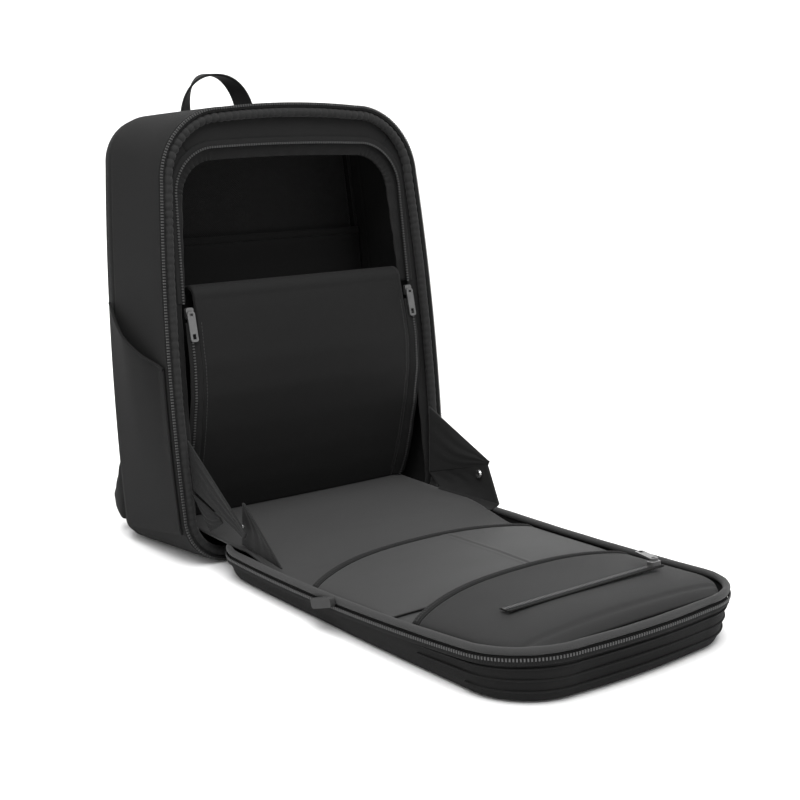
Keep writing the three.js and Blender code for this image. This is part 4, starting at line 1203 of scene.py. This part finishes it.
for row, shade in zip(POCKET_ROWS, (organizer, end_cloth)):
    u, v = grid(160, 90)
    share = lerp(arch(row, u) + (BINDING_WIDTH + 3 * GAP) / LID["height"], row["far"], v)
    x, y, z = pocket_surface(row, u, share, v)
    if row["name"] == "middle":
        z = z - 0.9 * np.exp(-(((x - SEAM_X) / 1.1) ** 2)) * smooth(v, 0.0, 0.03)
        z = z + 0.4 * np.exp(-((np.abs(x - SEAM_X) - 3.2) ** 2) / 3.0)
    else:
        near_end = smooth(v, 0.86, 0.9) * (1 - smooth(v, 0.9, 0.94))
        z = z - 0.8 * near_end
    cloth(
        f"lid_pocket_cloth_{row['name']}",
        [point(x, y, z)],
        shade,
        "organizer_fabric",
        [f"lid_pocket_{row['name']}"],
        on=["lid_lining"],
    )
    u, v = grid(260, 22)
    x, y, z = pocket_surface(row, u, arch(row, u) + BINDING_WIDTH * v / LID["height"], 0.0)
    z = z + 0.6 * np.sin(pi * v) + 0.35 * np.cos(6 * pi * v)
    for which, share in (("near", 0.17), ("far", 0.5)):
        at = np.linspace(0.01, 0.99, 300)
        middle = arch(row, at) + BINDING_WIDTH * share / LID["height"]
        line = np.stack(pocket_surface(row, at, middle, 0.0 * at), axis=-1)
        line[:, 2] += 1.75
        stitches(f"pocket_stitches_{row['name']}_{which}", line, (0, 0, 1))
    cloth(
        f"lid_pocket_tape_{row['name']}",
        [point(x, y, z)],
        binding,
        "binding_mesh",
        [f"lid_pocket_binding_{row['name']}"],
        thickness=1.9,
        on=[f"lid_pocket_cloth_{row['name']}"],
    )

LID_ZIP = dict(share=0.811, start=-78, stop=98, width=12)
zip_up = POCKET_ROWS[1]["stand"] + 0.8 + GAP + 0.6
u, v = grid(120, 8)
y = LID_START - (LID_ZIP["share"] + (v - 0.5) * LID_ZIP["width"] / LID["height"]) * LID["height"]
strip = point(lerp(LID_ZIP["start"], LID_ZIP["stop"], u), y, panel_z(y) + zip_up)
cloth(
    "lid_pocket_zip_tape",
    [strip],
    trim,
    "trim_tape",
    ["lid_pocket_zip"],
    thickness=1.1,
    on=["lid_pocket_cloth_end"],
)
middle = (strip[:, 3] + strip[:, 4]) / 2 + np.array([0, 0, 0.9])
teeth("lid_pocket_teeth", middle, (0, 0, 1), pitch=2.4, size=(1.2, 4.2, 1.0))
for which, column in (("near", 1), ("far", 6)):
    stitches(
        f"lid_zip_stitches_{which}", strip[:, column] + np.array([0, 0, 0.65]), (0, 0, 1)
    )

# The side gussets: folded cloth between the body's edge, the hinge and the lid's rim, one sheet for each
# fold. Press studs and an eyelet sit on them.
GUSSETS = [
    dict(
        name="left_upper",
        corners=[[-145.8, -50.5, 121], [-144.5, -57.5, 74], [-141, -141, 46.5], [-140.5, -144, 51.5]],
        sag=[2, 2, 1],
    ),
    dict(
        name="left_fold",
        corners=[[-146.3, -59, 70], [-138.5, -76, 36.5], [-137, -97, 49.5], [-140, -97, 55]],
        sag=[-3, 0, 0],
    ),
    dict(
        name="left_fin",
        corners=[[-131.5, -122, 34.3], [-132.5, -190, 29.3], [-134.2, -131, 76], [-134, -128, 76]],
        sag=[1.5, 0, 0],
    ),
    dict(
        name="right_upper",
        corners=[[145.7, -51.5, 114], [136.5, -64, 45], [147.5, -145, 68.6], [148, -147, 73]],
        sag=[-2, 0, 0],
    ),
    dict(
        name="right_lower",
        corners=[[136.5, -64, 45.2], [147.5, -145, 68.8], [143.5, -168, 33.5], [133.5, -84, 34.7]],
        sag=[2, 0, 0],
    ),
]
TUCK_NEAR, TUCK_FAR = np.array([-6.0, -2.0, -4.0]), np.array([-9.0, 6.0, -6.5])
TUCK_SAG = np.array([0, 0, 1.5])
gusset_cloth = fabric("gusset_cloth", 0.010, pitch=0.8, weave=0.3, rough=0.75, sheen=0.05)
for row in GUSSETS:
    a, b, c, d = (np.array(p, float) for p in row["corners"])
    u, v = grid(50, 32)
    near = a + (b - a) * v[..., None]
    far = d + (c - d) * v[..., None]
    belly = np.sin(pi * u) * np.sin(pi * v)
    creases = 0.8 * np.sin(7 * v * pi + 2.5 * ripple(u * 3, v * 2, 5.0)) * belly**0.6 * (1 - 0.5 * v)
    sheet_points = lerp(near, far, u[..., None]) + np.array(row["sag"]) * belly[..., None]
    normal = np.cross(b - a, d - a)
    normal = normal / np.linalg.norm(normal)
    sheet_points = sheet_points + normal * (creases * 0.6)[..., None]
    patches = [sheet_points]
    if row["name"] == "right_lower":
        t = np.linspace(0, 1, 14)[:, None, None]
        tuck = lerp(TUCK_NEAR, TUCK_FAR, np.linspace(0, 1, 32)[:, None])
        patches.append(sheet_points[-1] + tuck * t - TUCK_SAG * np.sin(pi * t))
    cloth(
        f"gusset_cloth_{row['name']}",
        patches,
        gusset_cloth,
        "lining_fabric",
        [f"gusset_{row['name']}"],
        held="folded",
        on=["gathered_tape_roll"],
    )

nickel = enamel("nickel", 0.75, 0.25, 1.0)
gunmetal = enamel("gunmetal", 0.17, 0.38, 0.9)
plastic = enamel("black_plastic", 0.007, 0.65)


def paint(finish, *nodes):
    for node in nodes:
        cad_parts[node].data.materials.clear()
        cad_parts[node].data.materials.append(finish.material)


paint(nickel, "snap_left_upper", "snap_left_fin", "eyelet_right")

# The hardware: gunmetal sliders and flat pulls on the two zips, a rubber puller and a slider at the ends of
# the big zip, and black plastic ladder buckles with plain webbing under the shoulder straps.
paint(
    gunmetal,
    "slider_left",
    "slider_right",
    "pull_left",
    "pull_right",
    "lid_slider",
    "lid_pull",
    "zip_slider",
)
paint(plastic, "zip_puller", "strap_buckle_left", "strap_buckle_right")
WEB_WIDTH = 24.0
WEB_FOOT = dict(x=112, s=33, out=36.3)
for name, side in (("left", -1), ("right", 1)):
    low, high = (np.array(c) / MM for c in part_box(f"strap_webbing_{name}"))
    foot_at = in_rear(side * WEB_FOOT["x"], WEB_FOOT["s"], WEB_FOOT["out"])
    top_at = low + high - foot_at
    u, v = grid(14, 80)
    run = (foot_at - top_at) / np.linalg.norm(foot_at - top_at)
    sideways = np.array([1.0, 0, 0]) - run * run[0]
    sideways /= np.linalg.norm(sideways)
    strap = lerp(top_at, foot_at, v[..., None]) + ((u - 0.5) * (WEB_WIDTH - 0.4))[..., None] * sideways
    cloth(
        f"webbing_{name}",
        [strap],
        trim,
        "trim_tape",
        [f"strap_webbing_{name}"],
        thickness=1.7,
        held="hung",
        on=[f"padded_strap_{name}"],
    )
